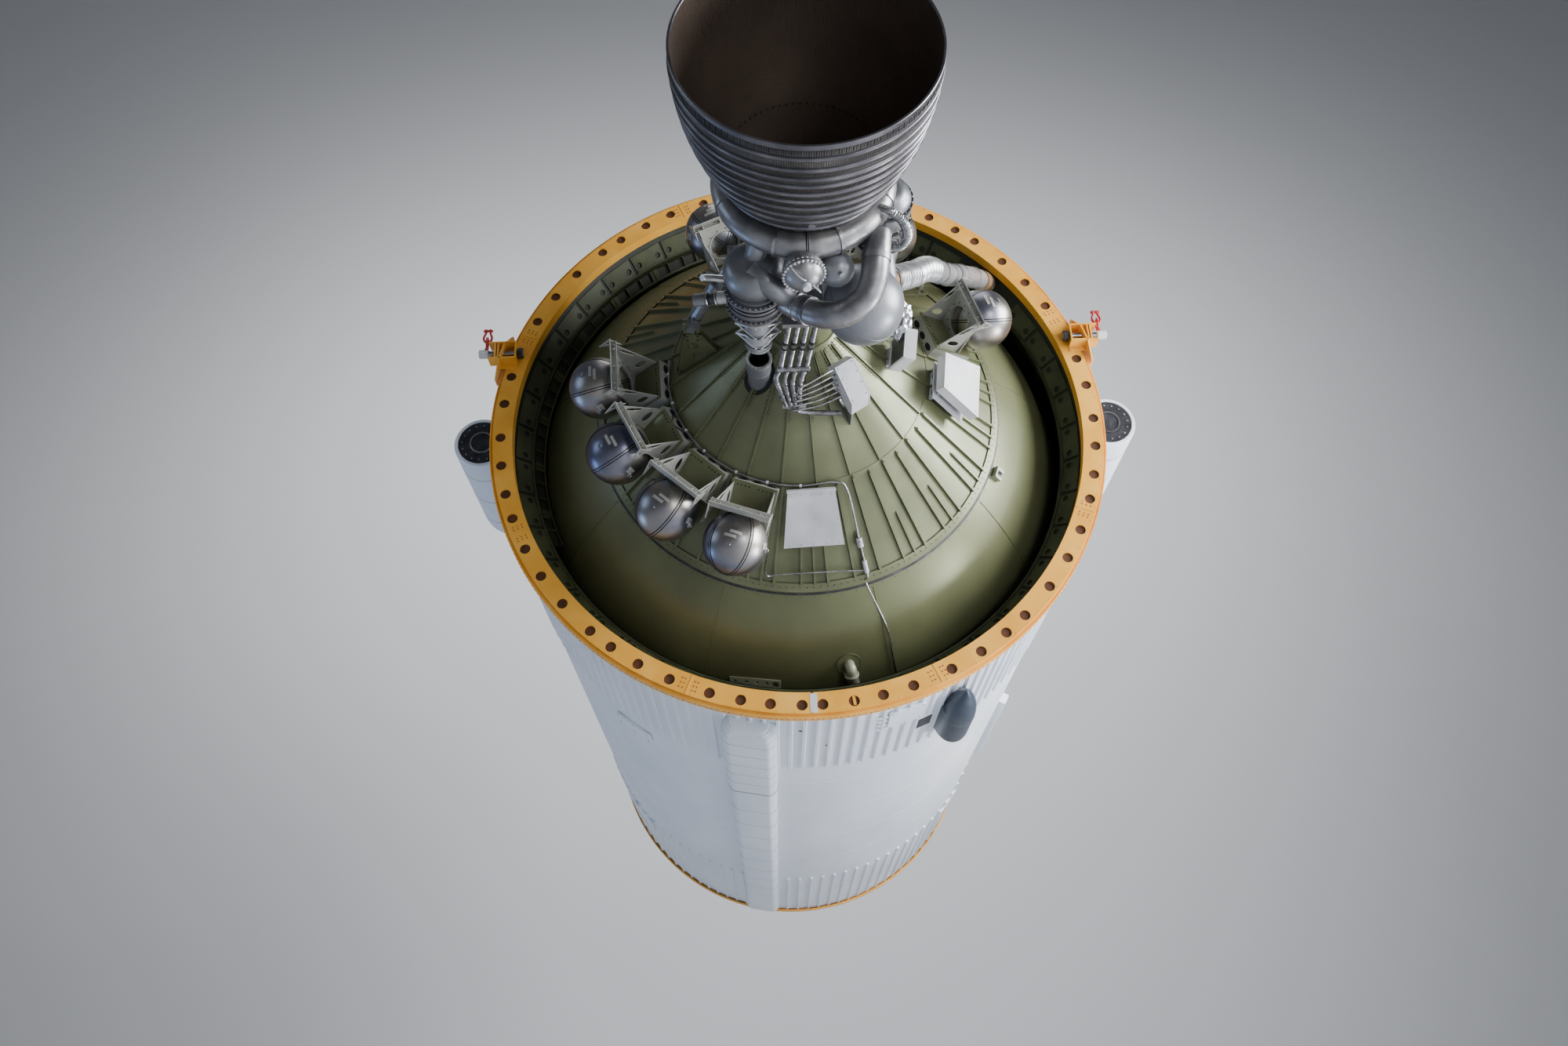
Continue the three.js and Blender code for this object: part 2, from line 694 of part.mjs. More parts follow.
part(
  'thrust_chamber',
  fuse(
    actuators.map(([, clock]) => outrigger(clock)),
    block(360, 50, 460, at(-20, -2850, -770)),
    turned(
      [[0, -3200 + FIT], [187, -3200 + FIT], [240, -3080], [240, -2860], [330, -2860], [330, -2790],
        [240, -2760], [210, -2640], [0, -2600]],
      16,
    ),
    [1, -1].map((side) =>
      block(2 * EAR.half, 240, EAR.width,
        at(0, GIMBAL_Y - 60, side * EAR.offset - EAR.width / 2)),
    ),
  ).subtract(rod(v(0, GIMBAL_Y, -300), v(0, GIMBAL_Y, 300), EAR.hole, EAR.hole, 16)),
  metal.engine,
);

// Exhaust manifold round the bell
const manifoldRing = toSolid(
  new THREE.TorusGeometry(MANIFOLD.ringRadius, MANIFOLD.tubeRadius, 8, 28),
  at(0, MANIFOLD.y, 0).multiply(new THREE.Matrix4().makeRotationX(Math.PI / 2)),
);
const bellClearance = turned(
  [[0, -5260], ...outerWall.map(([radius, y]) => [radius + FIT, y]), [0, -3199]],
  BELL_SIDES,
);
part('exhaust_manifold', cut(manifoldRing, bellClearance), metal.engine);

const manifoldClearance = toSolid(
  new THREE.TorusGeometry(MANIFOLD.ringRadius, MANIFOLD.tubeRadius + FIT, 8, 28),
  at(0, MANIFOLD.y, 0).multiply(new THREE.Matrix4().makeRotationX(Math.PI / 2)),
);

// Turbopumps beside the thrust chamber, each with its exhaust into the manifold
function pump(x, z, profile, exhaust) {
  return cut(
    fuse(turned(profile, PUMP_SIDES, at(x, 0, z)), rod(exhaust[0], exhaust[1], 90)),
    manifoldClearance,
    bellClearance,
  );
}
const OXIDISER = { x: -430, z: -640 };
const inletTop = -2960;
const oxidiserInlet = turned(
  [[0, inletTop], [128, inletTop], [128, -2820], [98, -2810], [98, -2710], [122, -2700],
    [122, -2665], [98, -2655], [98, -2545], [122, -2535], [122, -2450], [0, -2450]],
  16,
  at(STUB.x, 0, OXIDISER.z - 20),
);
part(
  'oxidiser_pump',
  fuse(
    pump(
      OXIDISER.x,
      OXIDISER.z,
      [[0, -3640], [150, -3630], [235, -3540], [265, -3400], [250, -3230], [258, -3100],
        [250, -3020], [190, -2960], [150, -2880], [0, -2878]],
      [v(-430, -3560, -600), v(-380, -3760, -550)],
    ),
    oxidiserInlet,
  ),
  metal.pump,
);
const FUEL = { x: 690, z: 60 };
const elbow = ductInlet.clone().addScaledVector(ductLine, -110);
const fuelInlet = fuse(
  ball(DUCT_RADIUS - 11, elbow, 10, 6),
  rod(elbow, ductInlet, DUCT_RADIUS),
  rod(elbow, v(690, -3010, -40), DUCT_RADIUS - 5),
);
const returnPipe = pipe(
  [v(690, -3330, -120), v(714, -3390, -330), v(790, -3480, -445), v(837, -3610, -450),
    v(790, -3780, -440), v(690, -3880, -420), v(600, -3880, -370)],
  40,
  6,
  11,
);
part(
  'fuel_pump',
  fuse(
    pump(
      FUEL.x,
      FUEL.z,
      [[0, -3640], [150, -3630], [235, -3540], [250, -3400], [235, -3200], [225, -2960],
        [150, -2900], [0, -2880]],
      [v(640, -3560, 60), v(580, -3760, 50)],
    ),
    fuelInlet,
    cut(returnPipe, manifoldClearance),
  ),
  metal.pump,
);

// Start tank, gas generator and small tank between the pumps
const START = { radius: 355, centre: v(504, -2950, -638.8) };
const GENERATOR = { radius: 168, centre: v(-38, -3700, -838) };
const SMALL = { radius: 148, centre: v(240, -3568, -730) };
const tankBall = ({ radius, centre }, extra = 0) => ball(radius + extra, centre, 16, 10);
part('start_tank', tankBall(START), metal.engine);
part('gas_generator', cut(tankBall(GENERATOR), manifoldClearance, bellClearance), metal.engine);
part('small_tank', cut(tankBall(SMALL), manifoldClearance, bellClearance), metal.engine);
const crossoverPath = [
  v(590, -3700, -480),
  v(560, -3660, -700),
  v(530, -3560, -860),
  v(455, -3480, -980),
  v(300, -3400, -1040),
  v(120, -3300, -985),
  v(-60, -3210, -830),
  v(-170, -3180, -730),
];
part(
  'crossover_duct',
  cut(
    pipe(crossoverPath, 115, 10, 14),
    manifoldClearance,
    [START, GENERATOR, SMALL].map((tankAt) => tankBall(tankAt, FIT)),
    turned([[0, -3640], [266, -3500], [266, -3000], [0, -2880]], PUMP_SIDES, at(-430, 0, -640)),
  ),
  metal.engine,
);

// Actuators: a swivel block on the cone, a barrel forked round it and a rod to the engine
const reach = v(ACTUATOR.eye.r - ACTUATOR.base.r, ACTUATOR.eye.y - ACTUATOR.base.y, 0);
const reachLength = reach.length();
for (const [name, clock] of actuators) {
  const { base, block: half, ear, pin, hole, eyeHole } = ACTUATOR;
  const place = turnTo(clock).multiply(at(base.r, base.y, 0));
  const acrossPin = earPlace + ear / 2;
  const swivel = fuse(
    block(2 * half, 2 * half, 2 * half, at(0, 0, -half)),
    rod(v(-acrossPin, 0, 0), v(acrossPin, 0, 0), pin, pin, 12),
    rod(v(0, 0, -acrossPin), v(0, 0, acrossPin), pin, pin, 12),
  );
  part(`${name}_actuator_swivel`, swivel.transform(place.elements), metal.steel);
  // Along the actuator: local Y runs from the base pivot to the rod's eye
  const lay = place.clone().multiply(
    new THREE.Matrix4().makeRotationZ(Math.atan2(reach.y, reach.x) - Math.PI / 2),
  );
  const barrel = cut(
    fuse(
      rod(v(0, 150, 0), v(0, 700, 0), 62, 62, 12),
      rod(v(0, 640, 0), v(0, 700, 0), 74, 74, 12),
      block(90, 50, 2 * (earPlace + ear / 2), at(0, 140, -(earPlace + ear / 2))),
      [1, -1].map((side) => block(80, 200, ear, at(0, 60, side * earPlace - ear / 2))),
    ),
    rod(v(0, 0, -200), v(0, 0, 200), hole, hole, 12),
    rod(v(0, 200, 0), v(0, 750, 0), 30.35, 30.35, 12),
  );
  part(`${name}_actuator_barrel`, barrel.transform(lay.elements), metal.steel);
  const pistonRod = cut(
    fuse(
      rod(v(0, 320, 0), v(0, reachLength - 40, 0), 30, 30, 12),
      rod(v(0, reachLength, -30), v(0, reachLength, 30), 60, 60, 12),
    ),
    rod(v(0, reachLength, -50), v(0, reachLength, 50), eyeHole, eyeHole, 12),
  );
  part(`${name}_actuator_rod`, pistonRod.transform(lay.elements), metal.steel);
}

// Four pipes side by side: on the cone, then two flexible lengths that cross the gimbal
const BUNDLE = { count: 4, pitch: 78, radius: 26 };
function bundle(points, clampPoints, spread = v(1, 0, 0)) {
  const offsets = [0, 1, 2, 3].map((i) => (i - (BUNDLE.count - 1) / 2) * BUNDLE.pitch);
  const shifted = (point, offset) => point.clone().addScaledVector(spread, offset);
  const runs = offsets.map((offset) =>
    pipe(points.map((point) => shifted(point, offset)), BUNDLE.radius, 6, points.length),
  );
  const clamps = clampPoints.map((point) => {
    const ends = [offsets[0] - 34, offsets[3] + 34].map((offset) => shifted(point, offset));
    return rod(ends[0], ends[1], 30, 30, 6);
  });
  return fuse(runs, clamps);
}
const bundleTop = v(-20, -2850 - FIT - 1, -735);
const bundleFoot = v(-100, -2240, -780);
const bundleMiddle = bundleTop.clone().lerp(bundleFoot, 0.5);
const shortOf = (from, to, gap) =>
  to.clone().add(from.clone().sub(to).setLength(gap));
part(
  'hoses_engine',
  cut(
    bundle([bundleTop, shortOf(bundleTop, bundleMiddle, FIT)], [shortOf(bundleTop, bundleMiddle, 32)]),
    block(360, 50 + FIT, 460 + FIT, at(-20, -2850, -770)),
  ),
  metal.steel,
);
part(
  'hoses_fixed',
  bundle([shortOf(bundleMiddle, bundleFoot, 4), bundleMiddle],
    [shortOf(bundleFoot, bundleMiddle, 32)]),
  metal.steel,
);
const bundleSeat = coneFrame(-96, -1514);
part(
  'pipe_bundle',
  cut(
    fuse(
      bundle(
        [bundleFoot, v(-105, -2080, -790), v(-100, -1900, -800), v(-92, -1680, -850)],
        [v(-101, -2208, -781)],
      ),
      pipe([v(-60, -1700, -846), v(-60, -1590, -850), v(90, -1545, -850), v(360, -1535, -860)],
        26, 6, 8),
      block(220, 60, 270, bundleSeat, -40),
    ),
    coneClearance,
    junctionBox(FIT),
  ),
  metal.steel,
);

export default stage;
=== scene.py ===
"""Upper stage of a space rocket on its two handling rings, as it looks.

Metres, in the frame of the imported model: the origin is the centre of the aft handling ring's aft
face, +Y runs forward along the stage's axis, +X is to the right seen from the engine end and +Z is
up. A clock angle is in degrees, from +X towards +Z.
"""

import math

import bmesh
import bpy
from mathutils import Matrix, Vector
from mathutils.geometry import tessellate_polygon


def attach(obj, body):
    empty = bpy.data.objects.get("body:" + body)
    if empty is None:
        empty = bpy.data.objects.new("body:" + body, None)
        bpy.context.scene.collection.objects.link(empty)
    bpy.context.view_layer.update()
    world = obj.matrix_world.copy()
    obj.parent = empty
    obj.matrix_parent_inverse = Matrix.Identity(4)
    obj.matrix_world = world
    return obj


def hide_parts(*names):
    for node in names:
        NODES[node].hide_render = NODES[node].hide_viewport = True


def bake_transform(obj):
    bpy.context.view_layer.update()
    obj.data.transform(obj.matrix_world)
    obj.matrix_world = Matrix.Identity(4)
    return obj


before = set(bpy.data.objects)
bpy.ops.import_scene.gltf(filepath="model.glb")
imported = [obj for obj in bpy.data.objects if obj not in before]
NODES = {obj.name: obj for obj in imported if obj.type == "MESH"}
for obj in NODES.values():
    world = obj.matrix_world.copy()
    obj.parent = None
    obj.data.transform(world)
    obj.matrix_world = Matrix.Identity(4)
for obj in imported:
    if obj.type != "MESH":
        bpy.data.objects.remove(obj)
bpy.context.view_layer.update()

# Driving dimensions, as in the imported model
SKIN = 3.302
SKIRT_INNER = 3.262
RING_INNER = 3.128
RING_OUTER = 3.382
FORWARD_RING_OUTER = 3.356
RING_DEPTH = 0.13
FORWARD_FACE_Y = 12.35
AFT_DOME_Y = 2.294
FORWARD_DOME_Y = 9.12
DOME_CENTRE = Vector((0, AFT_DOME_Y, 0))
HOLE_PITCH_RADIUS = 3.258
HOLE_RADIUS = 0.056
LUG_CLOCK = 16
CONE_WIDE = (2.134, -0.227)
CONE_SMALL = (0.34, -1.846)
COLLAR_Y = -2.33
SPHERE_RADIUS = 0.316
SPHERE_RING = 2.045
SPHERE_Y = -0.94
BELL_EXIT_Y = -5.25
BELL_EXIT_RADIUS = 1.0
MANIFOLD_Y = -3.79
MANIFOLD_RING = 0.65
MANIFOLD_TUBE = 0.118
TURNED_SIDES = 192
cone_slope = (CONE_WIDE[0] - CONE_SMALL[0]) / (CONE_WIDE[1] - CONE_SMALL[1])
cone_angle = math.atan(cone_slope)


# Places
def polar(radius, clock, y=0.0):
    """The point at this distance from the stage's axis, clock angle and station."""
    angle = math.radians(clock)
    return Vector((radius * math.cos(angle), y, radius * math.sin(angle)))


def axes(origin, x, y, z):
    """The frame with these axes at this origin."""
    place = Matrix((x, y, z)).transposed().to_4x4()
    place.translation = origin
    return place


def skin_frame(clock, y, radius=SKIN):
    """X runs round the skin, Y forward and Z off it."""
    out = polar(1, clock)
    along = Vector((0, 1, 0))
    return axes(polar(radius, clock, y), along.cross(out), along, out)


def face_frame(radius, clock, y, way=1):
    """X runs round a ring, Y outwards and Z off its aft face, or its forward one with way -1."""
    return axes(polar(radius, clock, y), polar(1, clock + 90), polar(1, clock), Vector((0, -way, 0)))


def cone_y(radius):
    """The station of the thrust cone's skin at this radius."""
    return CONE_SMALL[1] + (radius - CONE_SMALL[0]) / cone_slope


def cone_frame(clock, radius, off=0.0):
    """X runs round the thrust cone, Y towards its wide end and Z off it."""
    out = polar(math.cos(cone_angle), clock, -math.sin(cone_angle))
    along = polar(math.sin(cone_angle), clock, math.cos(cone_angle))
    place = polar(radius, clock, cone_y(radius)) + out * off
    return axes(place, along.cross(out), along, out)


def cone_at(clock, y):
    """The thrust cone's frame at a station."""
    return cone_frame(clock, CONE_SMALL[0] + (y - CONE_SMALL[1]) * cone_slope)


def over_cone(radius, clock, off):
    """The point at this distance off the thrust cone's skin."""
    return cone_frame(clock, radius, off).translation


def sphere_frame(clock):
    """The thrust cone's axes, at the centre of a helium sphere."""
    place = cone_at(clock, SPHERE_Y)
    place.translation = polar(SPHERE_RING, clock, SPHERE_Y)
    return place


def dome_frame(clock, radius, off=0.0):
    """X runs round the aft dome, Y outwards along it and Z off it."""
    y = AFT_DOME_Y - math.sqrt(SKIN**2 - radius**2)
    out = (polar(radius, clock, y) - DOME_CENTRE).normalized()
    across = Vector((0, 1, 0)).cross(polar(1, clock))
    return axes(polar(radius, clock, y) + out * off, across, out.cross(across), out)


def shift(x, y, z):
    return Matrix.Translation((x, y, z))


def turn(angle, axis):
    return Matrix.Rotation(math.radians(angle), 4, axis)


STAND_UP = turn(90, "X")  # a turned shape's axis, from Y to Z
ALONG_X = axes((0, 0, 0), (0, 1, 0), (0, 0, 1), (1, 0, 0))  # a plate in Y and Z
ALONG_Y = axes((0, 0, 0), (0, 0, 1), (1, 0, 0), (0, 1, 0))  # a plate in Z and X


def aimed(start, end):
    """A frame at the start whose Y runs towards the end."""
    along = (end - start).normalized()
    place = along.to_track_quat("Y", "Z").to_matrix().to_4x4()
    place.translation = start
    return place


# Shapes: each gives its points and faces
def revolve(profile, sides=TURNED_SIDES, loop=False, start=0.0, sweep=360.0):
    """A profile of (radius, y) turned about Y, in degrees. With loop the profile is a closed one."""
    whole = sweep >= 360
    count = sides if whole else sides + 1
    points = []
    for i in range(count):
        angle = math.radians(start + sweep * i / sides)
        for radius, y in profile:
            points.append((radius * math.cos(angle), y, radius * math.sin(angle)))
    size = len(profile)
    rows = size if loop else size - 1
    faces = []
    for i in range(sides):
        here, there = i * size, ((i + 1) % count) * size
        for k in range(rows):
            after = (k + 1) % size
            faces.append((here + k, here + after, there + after, there + k))
    if loop and not whole:
        faces.append(list(range(size)))
        faces.append([sides * size + k for k in reversed(range(size))])
    return points, faces


def drum(radius, y0, y1, edge=0.004, sides=32):
    """A closed cylinder along Y with broken edges."""
    way = edge if y1 > y0 else -edge
    return revolve(
        [(0, y0), (radius - edge, y0), (radius, y0 + way), (radius, y1 - way),
         (radius - edge, y1), (0, y1)],
        sides,
    )


def hoop(inner, outer, y0, y1, sides=TURNED_SIDES, start=0.0, sweep=360.0):
    """A ring with a rectangular section, or an arc of one."""
    section = [(inner, y0), (outer, y0), (outer, y1), (inner, y1)]
    return revolve(section, sides, True, start, sweep)


def ball(radius, sides=48, rows=24):
    profile = []
    for i in range(rows + 1):
        angle = math.pi * i / rows
        profile.append((radius * math.sin(angle), -radius * math.cos(angle)))
    return revolve(profile, sides)


def bolt(radius=0.011, height=0.01, sides=6):
    """A bolt's or rivet's head on a surface, with Z off it."""
    profile = [(radius, 0), (radius, height * 0.7), (radius * 0.75, height), (0, height)]
    points, faces = revolve(profile, sides)
    return [STAND_UP @ Vector(p) for p in points], faces


def box(x, y, z):
    """A box from (low, high) along each axis."""
    points = [(a, b, c) for a in x for b in y for c in z]
    faces = [(0, 1, 3, 2), (4, 6, 7, 5), (0, 4, 5, 1), (2, 3, 7, 6), (0, 2, 6, 4), (1, 5, 7, 3)]
    return points, faces


def circle(x, y, radius, count=24):
    angles = [math.tau * i / count for i in range(count)]
    return [(x + radius * math.cos(angle), y + radius * math.sin(angle)) for angle in angles]


def oval(x, y, long, short, angle=0, count=24):
    c, s = math.cos(math.radians(angle)), math.sin(math.radians(angle))
    ring = []
    for i in range(count):
        a, b = long * math.cos(math.tau * i / count), short * math.sin(math.tau * i / count)
        ring.append((x + a * c - b * s, y + a * s + b * c))
    return ring


def four_sided(half, y0, y1, far_half=None):
    """An outline from y0 to y1, this wide on both sides of X = 0. With far_half it tapers."""
    far = far_half or half
    return [(-half, y0), (half, y0), (far, y1), (-far, y1)]


def rounded(outline, radius, steps=5):
    """The outline with each corner turned to an arc of about this radius."""
    soft = []
    count = len(outline)
    for i in range(count):
        corner = Vector(outline[i])
        before = (Vector(outline[i - 1]) - corner).normalized()
        after = (Vector(outline[(i + 1) % count]) - corner).normalized()
        a, b = corner + before * radius, corner + after * radius
        for k in range(steps + 1):
            t = k / steps
            soft.append(tuple(a * (1 - t) ** 2 + corner * 2 * t * (1 - t) + b * t**2))
    return soft


def plate(outline, depth, holes=()):
    """A flat plate in X and Y, extruded evenly along Z, with holes."""
    loops = [[Vector((x, y, 0)) for x, y in loop] for loop in (outline, *holes)]
    flat = [point for loop in loops for point in loop]
    count = len(flat)
    half = Vector((0, 0, depth / 2))
    points = [p + half for p in flat] + [p - half for p in flat]
    faces = []
    for triangle in tessellate_polygon(loops):
        faces.append(list(triangle))
        faces.append([count + i for i in reversed(triangle)])
    first = 0
    for loop in loops:
        for i in range(len(loop)):
            a, b = first + i, first + (i + 1) % len(loop)
            faces.append([a, b, count + b, count + a])
        first += len(loop)
    return points, faces


def smooth_line(points, steps):
    """Stations on a curve that passes through the points."""
    knots = [Vector(p) for p in points]
    knots = [knots[0] * 2 - knots[1], *knots, knots[-1] * 2 - knots[-2]]
    stations = []
    for i in range(1, len(knots) - 2):
        before, a, b, after = knots[i - 1 : i + 3]
        for k in range(steps):
            t = k / steps
            stations.append(
                0.5 * (2 * a + (b - before) * t + (2 * before - 5 * a + 4 * b - after) * t**2
                       + (3 * a - before - 3 * b + after) * t**3)
            )
    return [*stations, knots[-2]]


def tube(points, radius, sides=12, steps=8):
    """A round tube on a smooth line. The radius is a number or a function of the length run."""
    stations = smooth_line(points, steps)
    radius_at = radius if callable(radius) else lambda run: radius
    side = Vector((0, 0, 1))
    rings = []
    run = 0.0
    for i, here in enumerate(stations):
        ahead = stations[min(i + 1, len(stations) - 1)]
        behind = stations[max(i - 1, 0)]
        along = (ahead - behind).normalized()
        if i == 0 and abs(along.dot(side)) > 0.9:
            side = Vector((1, 0, 0))
        side = (side - along * side.dot(along)).normalized()
        other = along.cross(side)
        run += (here - behind).length
        size = radius_at(run)
        for k in range(sides):
            angle = math.tau * k / sides
            rings.append(here + (side * math.cos(angle) + other * math.sin(angle)) * size)
    faces = []
    for i in range(len(stations) - 1):
        for k in range(sides):
            after = (k + 1) % sides
            faces.append((i * sides + k, i * sides + after,
                          (i + 1) * sides + after, (i + 1) * sides + k))
    faces.append(list(reversed(range(sides))))
    faces.append([(len(stations) - 1) * sides + k for k in range(sides)])
    return rings, faces


def swell(turns):
    """The wave of a bellows, from 0 to 1 and back in each turn."""
    return 0.5 - 0.5 * math.cos(math.tau * turns)


def ribbed(base, rib, pitch, start, end):
    """A tube's radius that swells and shrinks once in each pitch between start and end."""
    def radius(run):
        return base + rib * swell((run - start) / pitch) if start <= run <= end else base
    return radius


def ribs(base, rib, start, end, count, steps):
    """A turned profile's points along this many ribs, with this many steps in each."""
    return [(base + rib * swell(i / steps), start + (end - start) * i / (count * steps))
            for i in range(count * steps + 1)]


class Form:
    """The points and faces of one piece, gathered before its mesh is made."""

    def __init__(self):
        self.points, self.faces, self.paints = [], [], []

    def add(self, shape, place=None, paint=0):
        points, faces = shape
        base = len(self.points)
        for point in points:
            self.points.append(place @ Vector(point) if place else Vector(point))
        self.faces += [[base + i for i in face] for face in faces]
        self.paints += [paint] * len(faces)

    def rod(self, start, end, radius, paint=0, sides=12):
        start, end = Vector(start), Vector(end)
        shape = drum(radius, 0, (end - start).length, min(0.003, radius / 3), sides)
        self.add(shape, aimed(start, end), paint)


def bolted(form, place, radius, y, count, head, paint, facing=90):
    """A ring of bolts' heads about the place's Y. They face -Y, or Y where facing is -90."""
    for k in range(count):
        spot = place @ turn(360 * k / count, "Y") @ shift(radius, y, 0)
        form.add(head, spot @ turn(facing, "X"), paint)


def bolt_rows(form, place, xs, ys, z, head, paint):
    """Bolts' heads at each of these X and Y on a surface."""
    for x in xs:
        for y in ys:
            form.add(head, place @ shift(x, y, z), paint)


def show(name, data):
    """An object with this mesh, light or camera, linked to the scene."""
    shown = bpy.data.objects.new(name, data)
    bpy.context.scene.collection.objects.link(shown)
    return shown


def piece(name, form, body, paints, replaces=(), bevel=0.0, sharp=32):
    """Makes a form's mesh, with its materials, and has it ride a body. Given (body, body, start,
    end) in place of a body, it is left unattached where it stands."""
    mesh = bpy.data.meshes.new(name)
    mesh.from_pydata(form.points, [], form.faces)
    for material in paints:
        mesh.materials.append(material)
    mesh.polygons.foreach_set("material_index", form.paints)
    work = bmesh.new()
    work.from_mesh(mesh)
    bmesh.ops.remove_doubles(work, verts=work.verts, dist=1e-5)
    bmesh.ops.recalc_face_normals(work, faces=work.faces)
    work.to_mesh(mesh)
    work.free()
    mesh.polygons.foreach_set("use_smooth", [True] * len(mesh.polygons))
    mesh.set_sharp_from_angle(angle=math.radians(sharp))
    shown = show(name, mesh)
    if bevel:
        rounding = shown.modifiers.new("rounding", "BEVEL")
        rounding.width = bevel
        rounding.segments = 2
        rounding.limit_method = "ANGLE"
        rounding.angle_limit = math.radians(40)
    if replaces:
        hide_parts(*replaces)
    if isinstance(body, str):
        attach(shown, body)
    else:
        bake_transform(shown)


# Materials
def linear(code):
    """A colour written as six hexadecimal digits, in the renderer's linear values."""
    values = [int(code[i : i + 2], 16) / 255 for i in (0, 2, 4)]
    return [v / 12.92 if v <= 0.04045 else ((v + 0.055) / 1.055) ** 2.4 for v in values] + [1]


def noise(nodes, links, coordinates, scale, detail, stretch=(1, 1, 1)):
    mapping = nodes.new("ShaderNodeMapping")
    mapping.inputs["Scale"].default_value = stretch
    texture = nodes.new("ShaderNodeTexNoise")
    texture.inputs["Scale"].default_value = scale
    texture.inputs["Detail"].default_value = detail
    links.new(coordinates, mapping.inputs["Vector"])
    links.new(mapping.outputs["Vector"], texture.inputs["Vector"])
    return texture.outputs["Fac"]


def ramp(nodes, links, factor, stops):
    """A colour ramp with stops of (place, colour code)."""
    colours = nodes.new("ShaderNodeValToRGB")
    band = colours.color_ramp
    while len(band.elements) < len(stops):
        band.elements.new(0.5)
    for element, (place, code) in zip(band.elements, stops):
        element.position = place
        element.color = linear(code)
    links.new(factor, colours.inputs["Fac"])
    return colours.outputs["Color"]


def finish(name, stops, rough, metal=0.0, scale=2.2, stretch=(1, 1, 1), grain=60.0, bump=0.0,
           tubes=0):
    """A material whose colour, roughness and relief wander with noise. The roughness is (low,
    high). With tubes, that many fine ribs run along the stage's axis, all the way round, with painted
    shade: the colour is lighter on their crests and darker in the grooves between them."""
    material = bpy.data.materials.new(name)
    material.use_nodes = True
    nodes, links = material.node_tree.nodes, material.node_tree.links
    shader = nodes["Principled BSDF"]
    shader.inputs["Metallic"].default_value = metal
    place = nodes.new("ShaderNodeTexCoord").outputs["Object"]
    factor = noise(nodes, links, place, scale, 6, stretch)
    wave = None
    if tubes:
        split = nodes.new("ShaderNodeSeparateXYZ")
        links.new(place, split.inputs["Vector"])
        angle, turns, wave = (nodes.new("ShaderNodeMath") for _ in range(3))
        angle.operation, turns.operation, wave.operation = "ARCTAN2", "MULTIPLY", "SINE"
        turns.inputs[1].default_value = tubes
        links.new(split.outputs["X"], angle.inputs[0])
        links.new(split.outputs["Z"], angle.inputs[1])
        links.new(angle.outputs["Value"], turns.inputs[0])
        links.new(turns.outputs["Value"], wave.inputs[0])
        # Painted shade: the tubes' wave is added to the colour, lighter on the crests and darker in the
        # grooves
        blend = nodes.new("ShaderNodeMath")
        blend.operation = "MULTIPLY_ADD"
        blend.inputs[1].default_value = 0.12
        links.new(wave.outputs["Value"], blend.inputs[0])
        links.new(factor, blend.inputs[2])
        factor = blend.outputs["Value"]
    links.new(ramp(nodes, links, factor, stops), shader.inputs["Base Color"])
    fine = noise(nodes, links, place, grain, 4, stretch)
    spread = nodes.new("ShaderNodeMapRange")
    spread.inputs["From Min"].default_value = 0.3
    spread.inputs["From Max"].default_value = 0.7
    spread.inputs["To Min"].default_value, spread.inputs["To Max"].default_value = rough
    links.new(fine, spread.inputs["Value"])
    links.new(spread.outputs["Result"], shader.inputs["Roughness"])
    if bump or tubes:
        relief = nodes.new("ShaderNodeBump")
        relief.inputs["Strength"].default_value = bump or 0.5
        relief.inputs["Distance"].default_value = 0.002
        links.new(wave.outputs["Value"] if tubes else fine, relief.inputs["Height"])
        links.new(relief.outputs["Normal"], shader.inputs["Normal"])
    return material


WHITE = finish("white_skin", [(0.3, "dbe2eb"), (0.55, "e4eaf2"), (0.75, "eef2f7")],
               (0.3, 0.46), scale=1.4, stretch=(1, 0.35, 1), bump=0.04)
ORANGE = finish("orange_ring", [(0.25, "e09c2e"), (0.5, "f0ad3e"), (0.75, "f8bd56")],
                (0.34, 0.5), scale=2.6, bump=0.06)
DARK_RED = finish("stud_red", [(0.3, "7c2f1c"), (0.7, "a2452a")], (0.4, 0.6), scale=9)
# Painted shade: the ring's orange inner web as it looks in shade, seen through the face's holes
RING_HOLE_SHADE = finish("hole_painted_shade", [(0.3, "3f220d"), (0.7, "5f3513")], (0.6, 0.8), scale=9)
PALE_GREEN = finish("pale_green", [(0.3, "8d927a"), (0.7, "a5a992")], (0.34, 0.48), metal=0.15,
                    scale=5, bump=0.03)
PIPE_GREY = finish("pipe_grey", [(0.3, "66675f"), (0.7, "7e7f77")], (0.36, 0.5), metal=0.3, scale=6)
DOME = finish("olive_dome", [(0.3, "5f6346"), (0.55, "6a6e4e"), (0.8, "767a5a")],
              (0.32, 0.42), metal=0.3, scale=1.1, bump=0.03)
CONE = finish("olive_cone", [(0.3, "5e6247"), (0.55, "6b6f52"), (0.8, "7b7f62")],
              (0.3, 0.42), metal=0.3, scale=1.8, bump=0.04)
DARK_GREEN = finish("skirt_inside", [(0.3, "343a25"), (0.6, "434930"), (0.8, "53583c")],
                    (0.4, 0.55), metal=0.1, scale=3.0, bump=0.05)
